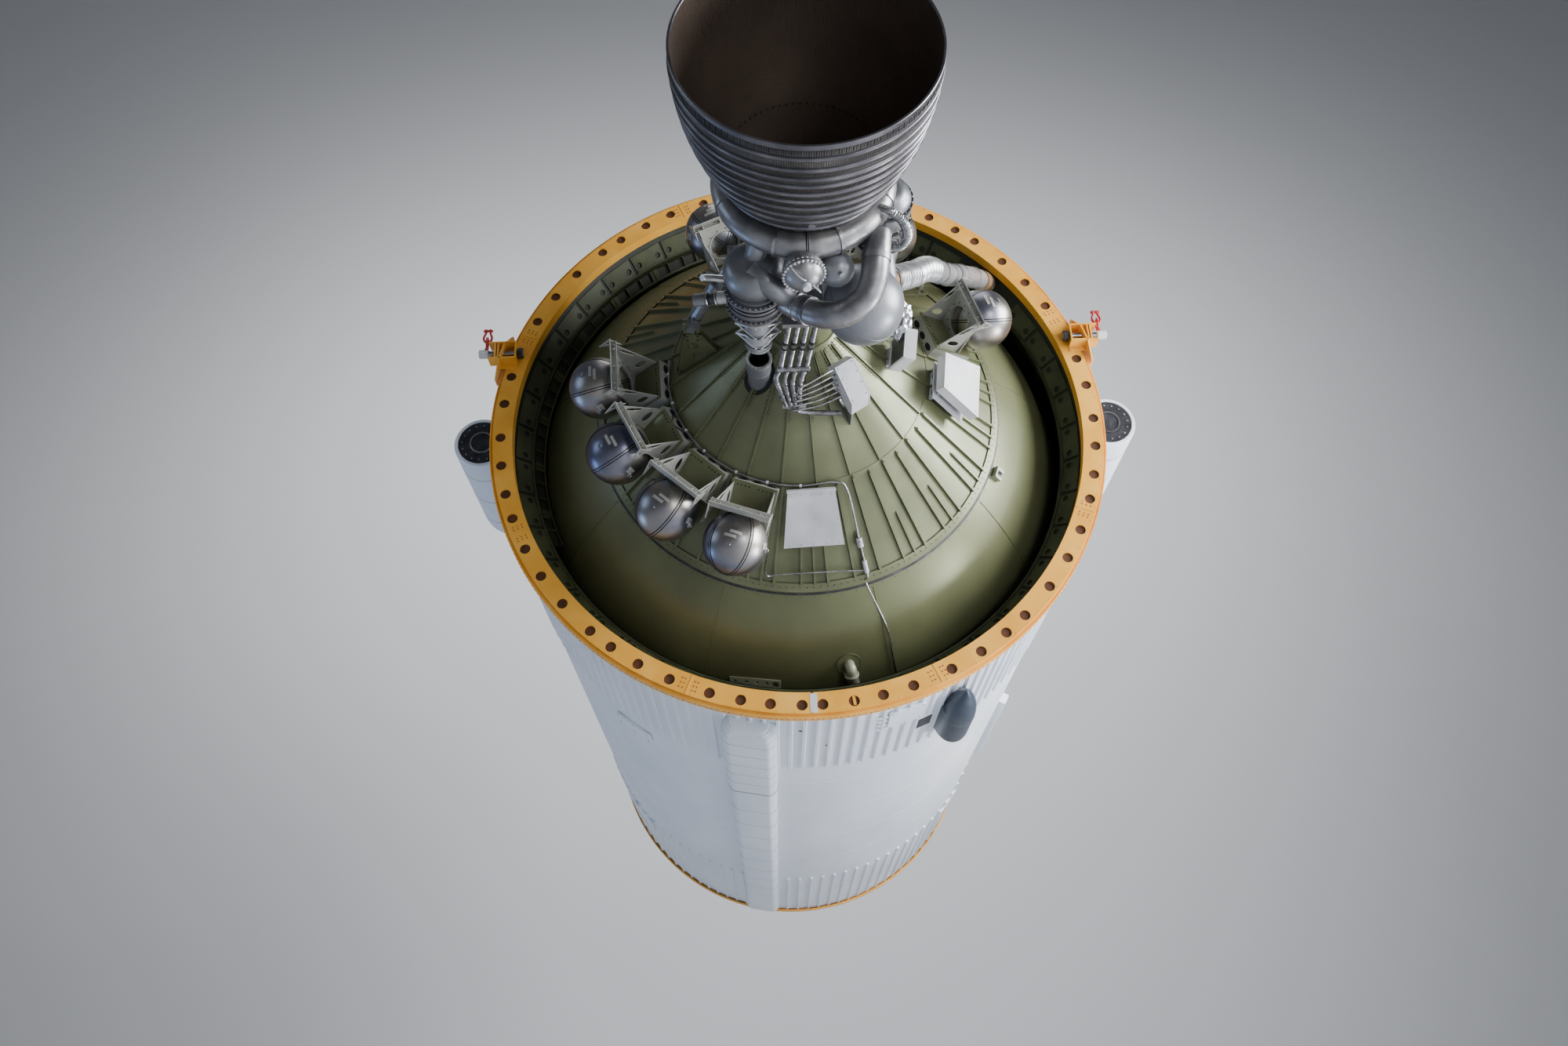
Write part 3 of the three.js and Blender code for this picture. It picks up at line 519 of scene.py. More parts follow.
# Painted shade: a near-black copy of the skirt's inside green, for the recess between the dome and the
# skirt
SKIRT_PAINTED_SHADE = finish("skirt_painted_shade", [(0.3, "1b1e14"), (0.8, "2a2e1f")], (0.5, 0.65), scale=3.0)
SLATE = finish("slate_fairing", [(0.3, "222a36"), (0.6, "2e3846"), (0.8, "3c4757")],
               (0.3, 0.45), scale=3.0, bump=0.04)
RED = finish("red_shackle", [(0.3, "a81f22"), (0.6, "cf3434"), (0.8, "e05a50")],
             (0.25, 0.4), scale=20, bump=0.05)
BOX = finish("grey_box", [(0.3, "a9abb2"), (0.6, "bfc1c6"), (0.8, "cfd1d4")],
             (0.34, 0.5), scale=3.5, bump=0.04)
BOX_WHITE = finish("white_box", [(0.3, "c4c6cb"), (0.6, "dcdde0"), (0.8, "eeeeef")],
                   (0.3, 0.45), scale=3.0, bump=0.03)
ALLOY = finish("engine_alloy", [(0.3, "8b8d92"), (0.55, "a7a9ad"), (0.8, "c3c4c6")],
               (0.28, 0.46), metal=0.85, scale=2.4, grain=40, bump=0.08)
TANK_GREY = finish("start_tank_grey", [(0.3, "777a80"), (0.6, "8b8e94"), (0.85, "a2a5aa")],
                   (0.32, 0.46), metal=0.5, scale=2.0, bump=0.03)
MANIFOLD = finish("manifold_alloy", [(0.3, "77777a"), (0.5, "929295"), (0.7, "a9a8a8")],
                  (0.3, 0.48), metal=0.85, scale=6.0, grain=40, bump=0.1)
HOSE = finish("hose_braid", [(0.3, "6d6d70"), (0.55, "98989b"), (0.8, "c4c4c6")],
              (0.22, 0.4), metal=0.9, scale=14.0, bump=0.1)
DUCT = finish("duct_sheet", [(0.3, "a5a6a9"), (0.55, "bfc0c2"), (0.8, "d6d6d7")],
              (0.28, 0.44), metal=0.75, scale=5.0, bump=0.08)
PUMP = finish("pump_alloy", [(0.3, "66686d"), (0.55, "84868b"), (0.8, "a6a7ab")],
              (0.32, 0.5), metal=0.8, scale=3.5, grain=50, bump=0.12)
BELL = finish("bell_tubes", [(0.25, "302e2e"), (0.5, "4b4948"), (0.75, "6a6765")],
              (0.3, 0.46), metal=0.85, scale=2.2, stretch=(1, 3, 1), tubes=360)
BELL_BAND = finish("bell_bands", [(0.3, "55545a"), (0.6, "76757a"), (0.8, "98979a")],
                   (0.28, 0.42), metal=0.9, scale=4.0, bump=0.05)
BELL_INSIDE = finish("bell_inside", [(0.3, "453a34"), (0.55, "5a4e45"), (0.8, "726458")],
                     (0.42, 0.6), metal=0.55, scale=0.8, tubes=360)
SPHERE = finish("sphere_metal", [(0.3, "67687e"), (0.46, "8a8b93"), (0.58, "9d978f"),
                                 (0.75, "b6b5b4")],
                (0.3, 0.42), metal=1.0, scale=1.5, stretch=(1, 2, 1), bump=0.03)
SHEET = finish("bracket_sheet", [(0.3, "a1a29c"), (0.6, "b9bab4"), (0.8, "cfcfca")],
               (0.34, 0.5), metal=0.45, scale=3.0, bump=0.04)
STEEL = finish("fitting_steel", [(0.3, "8a8b8e"), (0.6, "aeafb1"), (0.8, "cbcbcc")],
               (0.22, 0.4), metal=0.95, scale=9.0, bump=0.05)
DARK_STEEL = finish("dark_steel", [(0.3, "2b2b2f"), (0.6, "3e3f44"), (0.8, "55565b")],
                    (0.4, 0.6), metal=0.6, scale=12.0, bump=0.08)
# Black: painted shade inside holes, openings and gaps, and the colour of some bolts and of the strap
# edges on the spheres
BLACK = finish("black_and_painted_shade", [(0.3, "0b0b0c"), (0.7, "17171a")], (0.6, 0.8), scale=5.0)
FOIL = finish("foil", [(0.3, "9d9fa6"), (0.6, "c6c8cd"), (0.8, "e6e7ea")],
              (0.14, 0.3), metal=0.9, scale=8.0, bump=0.4)
RUST = finish("brown_end", [(0.3, "6b5238"), (0.6, "8a7152"), (0.8, "a08a6c")],
              (0.4, 0.6), metal=0.3, scale=9.0, bump=0.08)


# Tank: the two domes and the wall between the skirts
def dome_profile(start, end, centre_y, way, steps=40):
    profile = []
    for i in range(steps + 1):
        angle = math.radians(start + (end - start) * i / steps)
        profile.append((SKIN * math.sin(angle), centre_y + way * SKIN * math.cos(angle)))
    return profile


DOME_EDGE = math.degrees(math.asin(SKIRT_INNER / SKIN))
tank = Form()
tank.add(revolve(dome_profile(0, DOME_EDGE, AFT_DOME_Y, -1)), paint=0)
tank.add(hoop(SKIRT_INNER, SKIN, AFT_DOME_Y, FORWARD_DOME_Y), paint=1)
tank.add(revolve(dome_profile(DOME_EDGE, 0, FORWARD_DOME_Y, 1)), paint=0)
GORE_CLOCKS = [-112.2 + 40 * i for i in range(9)]


def on_forward_dome(point):
    """The point of the forward dome that mirrors this one of the aft dome."""
    return Vector((point.x, AFT_DOME_Y + FORWARD_DOME_Y - point.y, point.z))


# Weld seams between the gores of both domes
for clock in GORE_CLOCKS:
    seam = [dome_frame(clock, 2.2 + 0.13 * i, 0.001).translation for i in range(9)]
    tank.add(tube(seam, 0.005, 6, 4))
    far_seam = [dome_frame(clock, 0.6 + 0.3 * i, 0.001).translation for i in range(9)]
    tank.add(tube([on_forward_dome(point) for point in far_seam], 0.008, 6, 4))
# The forward dome's manhole cover with its bolts, and the wall's weld rings
far_top = on_forward_dome(dome_frame(0, 0.55).translation).y
for radius, rise in ((0.6, 0.02), (0.42, 0.045)):
    tank.add(drum(radius, far_top - 0.05, far_top + 0.03 + rise, 0.008, 64))
bolted(tank, shift(0, far_top + 0.05, 0), 0.52, 0, 24, bolt(0.016, 0.014), 0, -90)
for y in (2.9, 4.45, 6.0, 7.55):
    tank.add(hoop(SKIN - 0.01, SKIN + 0.0012, y, y + 0.03), paint=1)
piece("propellant_tank_skin", tank, "root", [DOME, WHITE], ["propellant_tank"])


# Skirts: skin with stringers outside, frames and panels inside
def skirt(node, y0, y1, stringers, stringer_y0, stringer_y1):
    form = Form()
    form.add(hoop(SKIN - 0.006, SKIN, y0, y1), paint=0)
    form.add(hoop(SKIRT_INNER, SKIN - 0.006, y0, y1), paint=1)
    rib = plate([(-0.027, -0.004), (0.027, -0.004), (0.024, 0.002), (0.013, 0.028),
                 (-0.013, 0.028), (-0.024, 0.002)], stringer_y1 - stringer_y0)
    middle = (stringer_y0 + stringer_y1) / 2
    for i in range(stringers):
        form.add(rib, skin_frame(360 * i / stringers, middle) @ turn(90, "X"), 0)
    piece(f"{node}_skin", form, "root", [WHITE, DARK_GREEN], [node])


skirt("aft_skirt", 0.019, AFT_DOME_Y - 0.001, 150, 0.14, 2.16)
skirt("forward_skirt", FORWARD_DOME_Y + 0.001, FORWARD_FACE_Y - 0.019, 108,
      FORWARD_DOME_Y + 0.02, 12.2)
# Inside the aft skirt: a conical frame faced with holed panels, and ribs beyond its edge. The frame's
# sheet and the band beyond its edge are near-black green: painted shade of the recess between the dome
# and the skirt.
frames = Form()
for y, depth in ((0.98, 0.07), (1.5, 0.06)):
    frames.add(hoop(SKIRT_INNER - depth, SKIRT_INNER + 0.002, y, y + 0.012))
frames.add(revolve([(SKIRT_INNER, 0.106), (2.985, 0.42), (2.995, 0.43), (SKIRT_INNER, 0.124)],
                   loop=True), paint=1)
frames.add(hoop(2.955, 2.992, 0.418, 0.428))
frames.add(hoop(2.955, 2.962, 0.418, 0.448))
FRAME_SLOPE = math.radians(48.6)


def slope_frame(radius, clock, y, off=0.0):
    """X runs round the conical frame, Y inwards along it and Z off it."""
    inward = polar(-math.cos(FRAME_SLOPE), clock, math.sin(FRAME_SLOPE))
    facing = polar(-math.sin(FRAME_SLOPE), clock, -math.cos(FRAME_SLOPE))
    return axes(polar(radius, clock, y) + facing * off, inward.cross(facing), inward, facing)


PANEL_STEP = 8
DUCT_CLOCK = 40.3  # the fuel duct passes here, where a panel is left out
holed_panel = plate(four_sided(0.2, -0.11, 0.105, 0.187), 0.006,
                    [circle(x, 0.02, 0.036, 20) for x in (-0.135, 0.135)])
for i in range(360 // PANEL_STEP):
    clock = (i + 0.5) * PANEL_STEP
    if abs(clock - DUCT_CLOCK) < 5:
        continue
    place = slope_frame(3.066, clock, 0.328, 0.012)
    frames.add(holed_panel, place)
    frames.add(box((-0.19, 0.19), (0.095, 0.105), (0, 0.014)), place)
    bolt_rows(frames, place, (-0.17, -0.06, 0.06, 0.17), (0.075, -0.09), 0.003, bolt(0.006, 0.005), 0)
first, last = 58, 204  # clocks between which ribs show beyond the frame's edge
# The band beyond the frame's edge is near-black green: painted shade
frames.add(revolve([(2.965, 0.475), (2.868, 0.585), (2.875, 0.592), (2.975, 0.48)], last - first,
                   True, first, last - first), paint=1)
frames.add(revolve([(2.86, 0.548), (2.875, 0.535), (2.88, 0.545), (2.868, 0.598)], last - first,
                   True, first, last - first))
for i in range((last - first) // 4):
    clock = first + 2 + 4 * i
    place = slope_frame(2.92, clock, 0.5)
    frames.add(box((-0.006, 0.006), (-0.075, 0.07), (-0.05, 0.012)), place)
    if i % 3 == 1:
        frames.add(box((-0.05, 0.05), (-0.07, 0.06), (-0.02, 0.004)), place)
piece("aft_skirt_frames", frames, "root", [DARK_GREEN, SKIRT_PAINTED_SHADE])

# Handling rings
HOLE_CLOCKS = [88.2, 82.7, 77.3, 71.9, 64.4, 58.5, 52.2, 47.3, 39.8, 32.9, 26.0, 12.2, 5.9, -1.7,
               -7.9, -14.2, -19.6, -26.5, -32.9, -39.8, -47.3, -52.2, -58.1, -64.4, -71.9, -77.5,
               -82.7, -88.2]
FACE_OUTER = 3.345


def holed_face(form, face_y, way, thickness, outer):
    """A ring's flat face made of tiles: one round each hole and plain ones between them."""
    half = 2.0  # degrees on each side of a hole's centre
    clocks = sorted(HOLE_CLOCKS + [180 - c for c in HOLE_CLOCKS])
    count = 32
    rim = circle(0, 0, HOLE_RADIUS, count)
    edge = [(a / max(abs(a), abs(b)), b / max(abs(a), abs(b))) for a, b in circle(0, 0, 1, count)]
    for clock in clocks:
        centre = polar(HOLE_PITCH_RADIUS, clock)
        out, across = polar(1, clock), polar(1, clock + 90)
        points = []
        for depth in (0, thickness):
            y = Vector((0, face_y + way * depth, 0))
            points += [centre + out * a + across * b + y for a, b in rim]
            for a, b in edge:
                reach = outer if a > 0 else RING_INNER
                radius = HOLE_PITCH_RADIUS + abs(a) * (reach - HOLE_PITCH_RADIUS)
                points.append(polar(radius, clock + b * half) + y)
        faces = []
        for i in range(count):
            j = (i + 1) % count
            faces.append((i, j, count + j, count + i))
            faces.append((2 * count + i, 3 * count + i, 3 * count + j, 2 * count + j))
            faces.append((i, 2 * count + i, 2 * count + j, j))
        form.add((points, faces))
    for i, clock in enumerate(clocks):
        after = clocks[(i + 1) % len(clocks)] + (360 if i + 1 == len(clocks) else 0)
        gap = after - clock - 2 * half
        form.add(hoop(RING_INNER, outer, face_y, face_y + way * thickness, max(2, round(gap)),
                      clock + half, gap))


def handling_ring(name, face_y, way, outer, node, holed):
    form = Form()
    y = lambda depth: face_y + way * depth
    if holed:
        holed_face(form, face_y, way, 0.016, FACE_OUTER)
        # A dark brown sheet just behind the holed face: painted shade seen through the holes
        form.add(hoop(RING_INNER + 0.01, FACE_OUTER - 0.005, 0.0165, 0.0178), paint=2)
    else:
        form.add(hoop(RING_INNER, FACE_OUTER, y(0), y(0.018)))
    step = 0.034
    form.add(revolve(
        [(FACE_OUTER - 0.012, y(0.002)), (FACE_OUTER, y(0)), (FACE_OUTER, y(step)),
         (outer - 0.012, y(step)), (outer - 0.012, y(step - 0.008)), (outer, y(step - 0.008)),
         (outer, y(RING_DEPTH)), (outer - 0.02, y(RING_DEPTH)), (outer - 0.02, y(step + 0.016)),
         (FACE_OUTER - 0.012, y(step + 0.016))], loop=True))
    form.add(revolve(
        [(RING_INNER, y(0.001)), (RING_INNER + 0.016, y(0.018)),
         (RING_INNER + 0.016, y(RING_DEPTH)), (RING_INNER, y(RING_DEPTH))], loop=True))
    # Joint plates with rivets, and studs round the outside and on the face
    for joint in (-22, -67, -112, -157, 23, 68, 113, 158):
        form.add(box((-0.006, 0.006), (-0.1, 0.1), (-0.004, 0.004)),
                 face_frame(3.236, joint, y(0), way))
        for radius in (3.19, 3.238, 3.286):
            for aside in (-1.5, -0.9, 0.9, 1.5):
                form.add(bolt(0.0075, 0.004, 8), face_frame(radius, joint + aside, y(0), way), 1)
    stud = bolt(0.006, 0.005, 6)
    for i in range(0, 360, 3):
        for clock in (i, i + 0.9, i + 1.8):
            place = axes(polar(outer, clock, y(0.08)), Vector((0, 1, 0)), polar(1, clock + 90),
                         polar(1, clock))
            form.add(stud, place, 1)
        form.add(stud, face_frame(3.33, i, y(0), way), 0)
    # Lifting lugs: a box open to the end of the stage, a narrow slot and a tapered outer plate
    for side in (1, -1):
        place = shift(0, face_y, 0) @ Matrix.Diagonal((side, way, 1, 1))
        wall = 0.014
        x0, x1, z0, z1 = 3.135, 3.315, 0.86, 1.05
        for low, high in ((z0 - wall, z0), (z1, z1 + wall)):
            form.add(box((x0 - wall, 3.43), (-0.15, 0.01), (low, high)), place)
        for low, high in ((x0 - wall, x0), (x1, x1 + wall), (3.345, 3.362)):
            form.add(box((low, high), (-0.15, 0.01), (z0, z1)), place)
        form.add(box((x0 - wall, x1), (-0.012, 0.0), (z0 - 0.07, z0 - wall)), place)
        outline = [(-0.30, 0.0), (-0.18, -0.09), (-0.10, -0.15), (0.10, -0.15), (0.18, -0.09),
                   (0.30, 0.0), (0.30, 0.12), (-0.30, 0.12)]
        clock = LUG_CLOCK if side > 0 else 180 - LUG_CLOCK
        tangent = skin_frame(clock, 0, RING_OUTER + 0.03)
        tangent = shift(0, face_y, 0) @ tangent @ Matrix.Diagonal((1, way, 1, 1))
        form.add(plate(outline, 0.016), tangent)
    # A white plate and two bars, low on the aft ring's face
    if holed:
        form.add(box((-0.035, 0.035), (-0.11, 0.09), (-0.002, 0.001)), face_frame(3.25, -89.75, -0.001),
                 3)
        for clock in (-98.6, -82.64):
            form.add(box((-0.014, 0.014), (-0.05, 0.05), (-0.012, -0.008)),
                     face_frame(3.25, clock, -0.001), 0)
    piece(name, form, "root", [ORANGE, DARK_RED, RING_HOLE_SHADE, BOX_WHITE], [node])


handling_ring("aft_ring", 0, 1, RING_OUTER, "aft_handling_ring", True)
handling_ring("forward_ring", FORWARD_FACE_Y, -1, FORWARD_RING_OUTER, "forward_handling_ring", False)

# Lifting pins and the two linked shackles on each
LUG_Z = 0.955
PIN_Y = -0.062


def bow(form, place, width, height, wire, pin):
    """A shackle's bow with its pin: the pin lies at the origin and the bow stands along Z."""
    line = [(-width * 0.5, 0, 0), (-width * 0.62, 0, height * 0.25), (-width, 0, height * 0.6),
            (-width * 0.72, 0, height * 0.9), (0, 0, height), (width * 0.72, 0, height * 0.9),
            (width, 0, height * 0.6), (width * 0.62, 0, height * 0.25), (width * 0.5, 0, 0)]
    form.add(tube(line, wire, 12, 5), place)
    for side in (-1, 1):
        end = Vector((side * width * 0.5, 0, 0))
        form.add(drum(wire * 1.7, -wire, wire, 0.003, 20),
                 place @ shift(*end) @ turn(90, "Z"))
    form.add(drum(pin, -width * 0.5 - 0.03, width * 0.5 + 0.03, 0.003, 16), place @ turn(90, "Z"))


for name, side in (("right", 1), ("left", -1)):
    pin = Form()
    along = lambda x: Vector((side * x, PIN_Y, LUG_Z))
    pin.rod(along(3.05), along(3.5), 0.034, 0, 24)
    pin.rod(along(3.055), along(3.115), 0.062, 2, 6)
    pin.rod(along(3.09), along(3.12), 0.046, 2, 24)
    pin.rod(along(3.44), along(3.545), 0.05, 1, 24)
    pin.add(ball(0.05, 24, 12), shift(*along(3.5)), 1)
    piece(f"pin_{name}", pin, "root", [STEEL, BOX_WHITE, DARK_STEEL],
          [f"lifting_pin_{name}"])
    links = Form()
    x = side * 3.465
    lower = shift(x, PIN_Y, LUG_Z + 0.045) @ turn(90, "Z")
    upper = shift(x, PIN_Y, LUG_Z + 0.315) @ turn(180, "X")
    bow(links, lower, 0.042, 0.17, 0.012, 0.013)
    bow(links, upper, 0.046, 0.155, 0.013, 0.014)
    piece(f"shackles_{name}", links, "root", [RED], [f"sling_shackle_{name}"])

# Thrust cone: skin, collar, stringers, seam, edge and rivets
cone = Form()
cone_profile = [CONE_WIDE, CONE_SMALL, (CONE_SMALL[0], COLLAR_Y + 0.02),
                (CONE_SMALL[0] - 0.02, COLLAR_Y), (0, COLLAR_Y)]
cone.add(revolve(cone_profile))
cone.add(hoop(0.326, 0.352, CONE_SMALL[1] - 0.03, CONE_SMALL[1] - 0.005))
cone.add(hoop(0.32, 0.356, COLLAR_Y, COLLAR_Y + 0.05))


def run_on_cone(form, clock, start, end, width, height, tip=0.05, aside=0.0):
    """A stringer on the cone between two radii, with a pointed start."""
    length = (end - start) / math.sin(cone_angle)
    half = width / 2
    ridge = [(aside, 0, -0.002), (aside - half, tip, -0.004), (aside + half, tip, -0.004),
             (aside + half, tip, height), (aside - half, tip, height),
             (aside - half, length, -0.004), (aside + half, length, -0.004),
             (aside + half, length - height / 2, height), (aside - half, length - height / 2, height)]
    faces = [(0, 2, 3), (0, 3, 4), (0, 4, 1), (1, 4, 8, 5), (2, 6, 7, 3), (4, 3, 7, 8),
             (5, 8, 7, 6), (0, 1, 2), (1, 5, 6, 2)]
    form.add((ridge, faces), cone_frame(clock, start))


FULL_CLOCK = -24.2  # one of the 24 stringers that run the whole length of the cone
rivet = bolt(0.005, 0.004, 5)
for i in range(24):
    clock = FULL_CLOCK - 15 * i
    run_on_cone(cone, clock, 1.30, 2.095, 0.024, 0.034)
    run_on_cone(cone, clock, 0.37, 1.315, 0.016, 0.026, aside=0.016)
    for side in (-1, 1):
        run_on_cone(cone, clock, 0.36, 0.86, 0.01, 0.006, 0.02, 0.016 + side * 0.022)
    for k in range(16):
        radius = 0.38 + 0.03 * k
        for side in (-1, 1):
            place = cone_frame(clock, radius) @ shift(0.016 + side * 0.034, 0, 0)
            cone.add(rivet, place, 1)
    run_on_cone(cone, clock - 7.4, 1.316, 2.095, 0.022, 0.032)
    for back in (7.4, 3.7):
        run_on_cone(cone, clock - back, 1.716, 2.095, 0.02, 0.028)
SEAM_RADIUS = 1.33
cone.add(revolve([(SEAM_RADIUS + out, cone_y(SEAM_RADIUS) + along) for out, along in
                  ((-0.02, -0.02), (-0.018, -0.024), (0.022, 0.014), (0.02, 0.02))], loop=True))
cone.add(revolve([(2.086, -0.29), (2.13, -0.25), (2.158, -0.236), (2.156, -0.21), (2.08, -0.25)],
                 loop=True))
EDGE_RIVETS = 192
for i in range(EDGE_RIVETS):
    clock = 360 * i / EDGE_RIVETS
    cone.add(bolt(0.006, 0.006, 6), cone_frame(clock, 2.108, 0.014), 1)
    if i % 2:
        cone.add(bolt(0.006, 0.003, 5), dome_frame(clock, 2.19), 1)
# Painted shadow: a dark line on the dome along the cone's edge
cone_edge_shadow = [dome_frame(0, radius, 0.003).translation for radius in (2.15, 2.172)]
cone.add(revolve([(p.x, p.y) for p in cone_edge_shadow]), paint=1)
# A round hatch on the left side; its opening is a black disc, painted shade
cone.add(plate(circle(0, 0, 0.066, 32), 0.012, [circle(0, 0, 0.055, 32)]),
         cone_frame(178.9, 1.204, 0.004))
cone.add(plate(circle(0, 0, 0.055, 32), 0.006), cone_frame(178.9, 1.204, 0.002), 2)
# Actuator mounts: a holed plate with thick edges, a block and two ears for the swivel's pin
SWIVEL_BORE = 0.0209
for clock in (180, 90):
    place = axes(polar(1.05, clock, -1.85), polar(1, clock), Vector((0, 1, 0)), polar(1, clock + 90))
    outline = [(-0.08, 0.11), (0.08, 0.11), (0.2, 0.89), (-0.3, 0.56)]
    cone.add(plate(outline, 0.05, [circle(0, 0.33, 0.055), circle(-0.05, 0.5, 0.07)]), place)
    for (x0, y0), (x1, y1) in ((outline[0], outline[3]), (outline[1], outline[2])):
        inward = 0.008 if x0 < 0 else -0.008
        cone.add(plate([(x0, y0), (x1, y1), (x1 + inward * 2, y1), (x0 + inward * 2, y0)], 0.09), place)
    cone.add(box((-0.08, 0.08), (0.11, 0.23), (-0.045, 0.045)), place)
    for side in (-1, 1):
        ear = rounded([(-0.055, -0.03), (0.145, -0.03), (0.145, 0.03), (-0.055, 0.03)], 0.014)
        cone.add(plate(ear, 0.035, [circle(0, 0, SWIVEL_BORE, 24)]),
                 place @ shift(side * 0.0625, 0, 0) @ ALONG_X)
        bolt_rows(cone, place, [side * 0.05], (0.14, 0.2), 0.045, bolt(0.011, 0.009), 1)
piece("thrust_cone_skin", cone, "root", [CONE, DARK_STEEL, BLACK], ["thrust_cone"])

# Feed stub in its hole of the cone
STUB = Vector((-0.411, 0, -0.45))
STUB_END_Y = -1.9
stub = Form()
place = shift(*STUB)
# The tube's inside wall and a disc deep within it are black: painted shade
stub.add(revolve([(0.096, -1.26), (0.096, STUB_END_Y)], 64), place, 2)
stub.add(revolve([(0.096, STUB_END_Y), (0.112, STUB_END_Y), (0.112, -1.2005), (0, -1.2005)], 64),
         place, 0)
stub.add(hoop(0.1, 0.126, STUB_END_Y - 0.002, STUB_END_Y + 0.03, 64), place, 1)
stub.add(hoop(0.111, 0.119, -1.74, -1.725, 64), place, 1)
stub.add(hoop(0.0, 0.095, -1.27, -1.262, 48), place, 2)
bolted(stub, place, 0.118, STUB_END_Y - 0.002, 20, bolt(0.006, 0.006), 1)
# Painted shade in the gap round the stub: a black ring laid on the cone
points, faces = hoop(0.113, 0.15, 0, 0.001, 64)
on_cone = []
for x, y, z in points:
    radius = math.hypot(STUB.x + x, STUB.z + z)
    on_cone.append((x, cone_y(radius) - 0.004 + y, z))
stub.add((on_cone, faces), place, 2)
piece("feed_stub", stub, "root", [TANK_GREY, DUCT, BLACK], ["oxidiser_stub"])

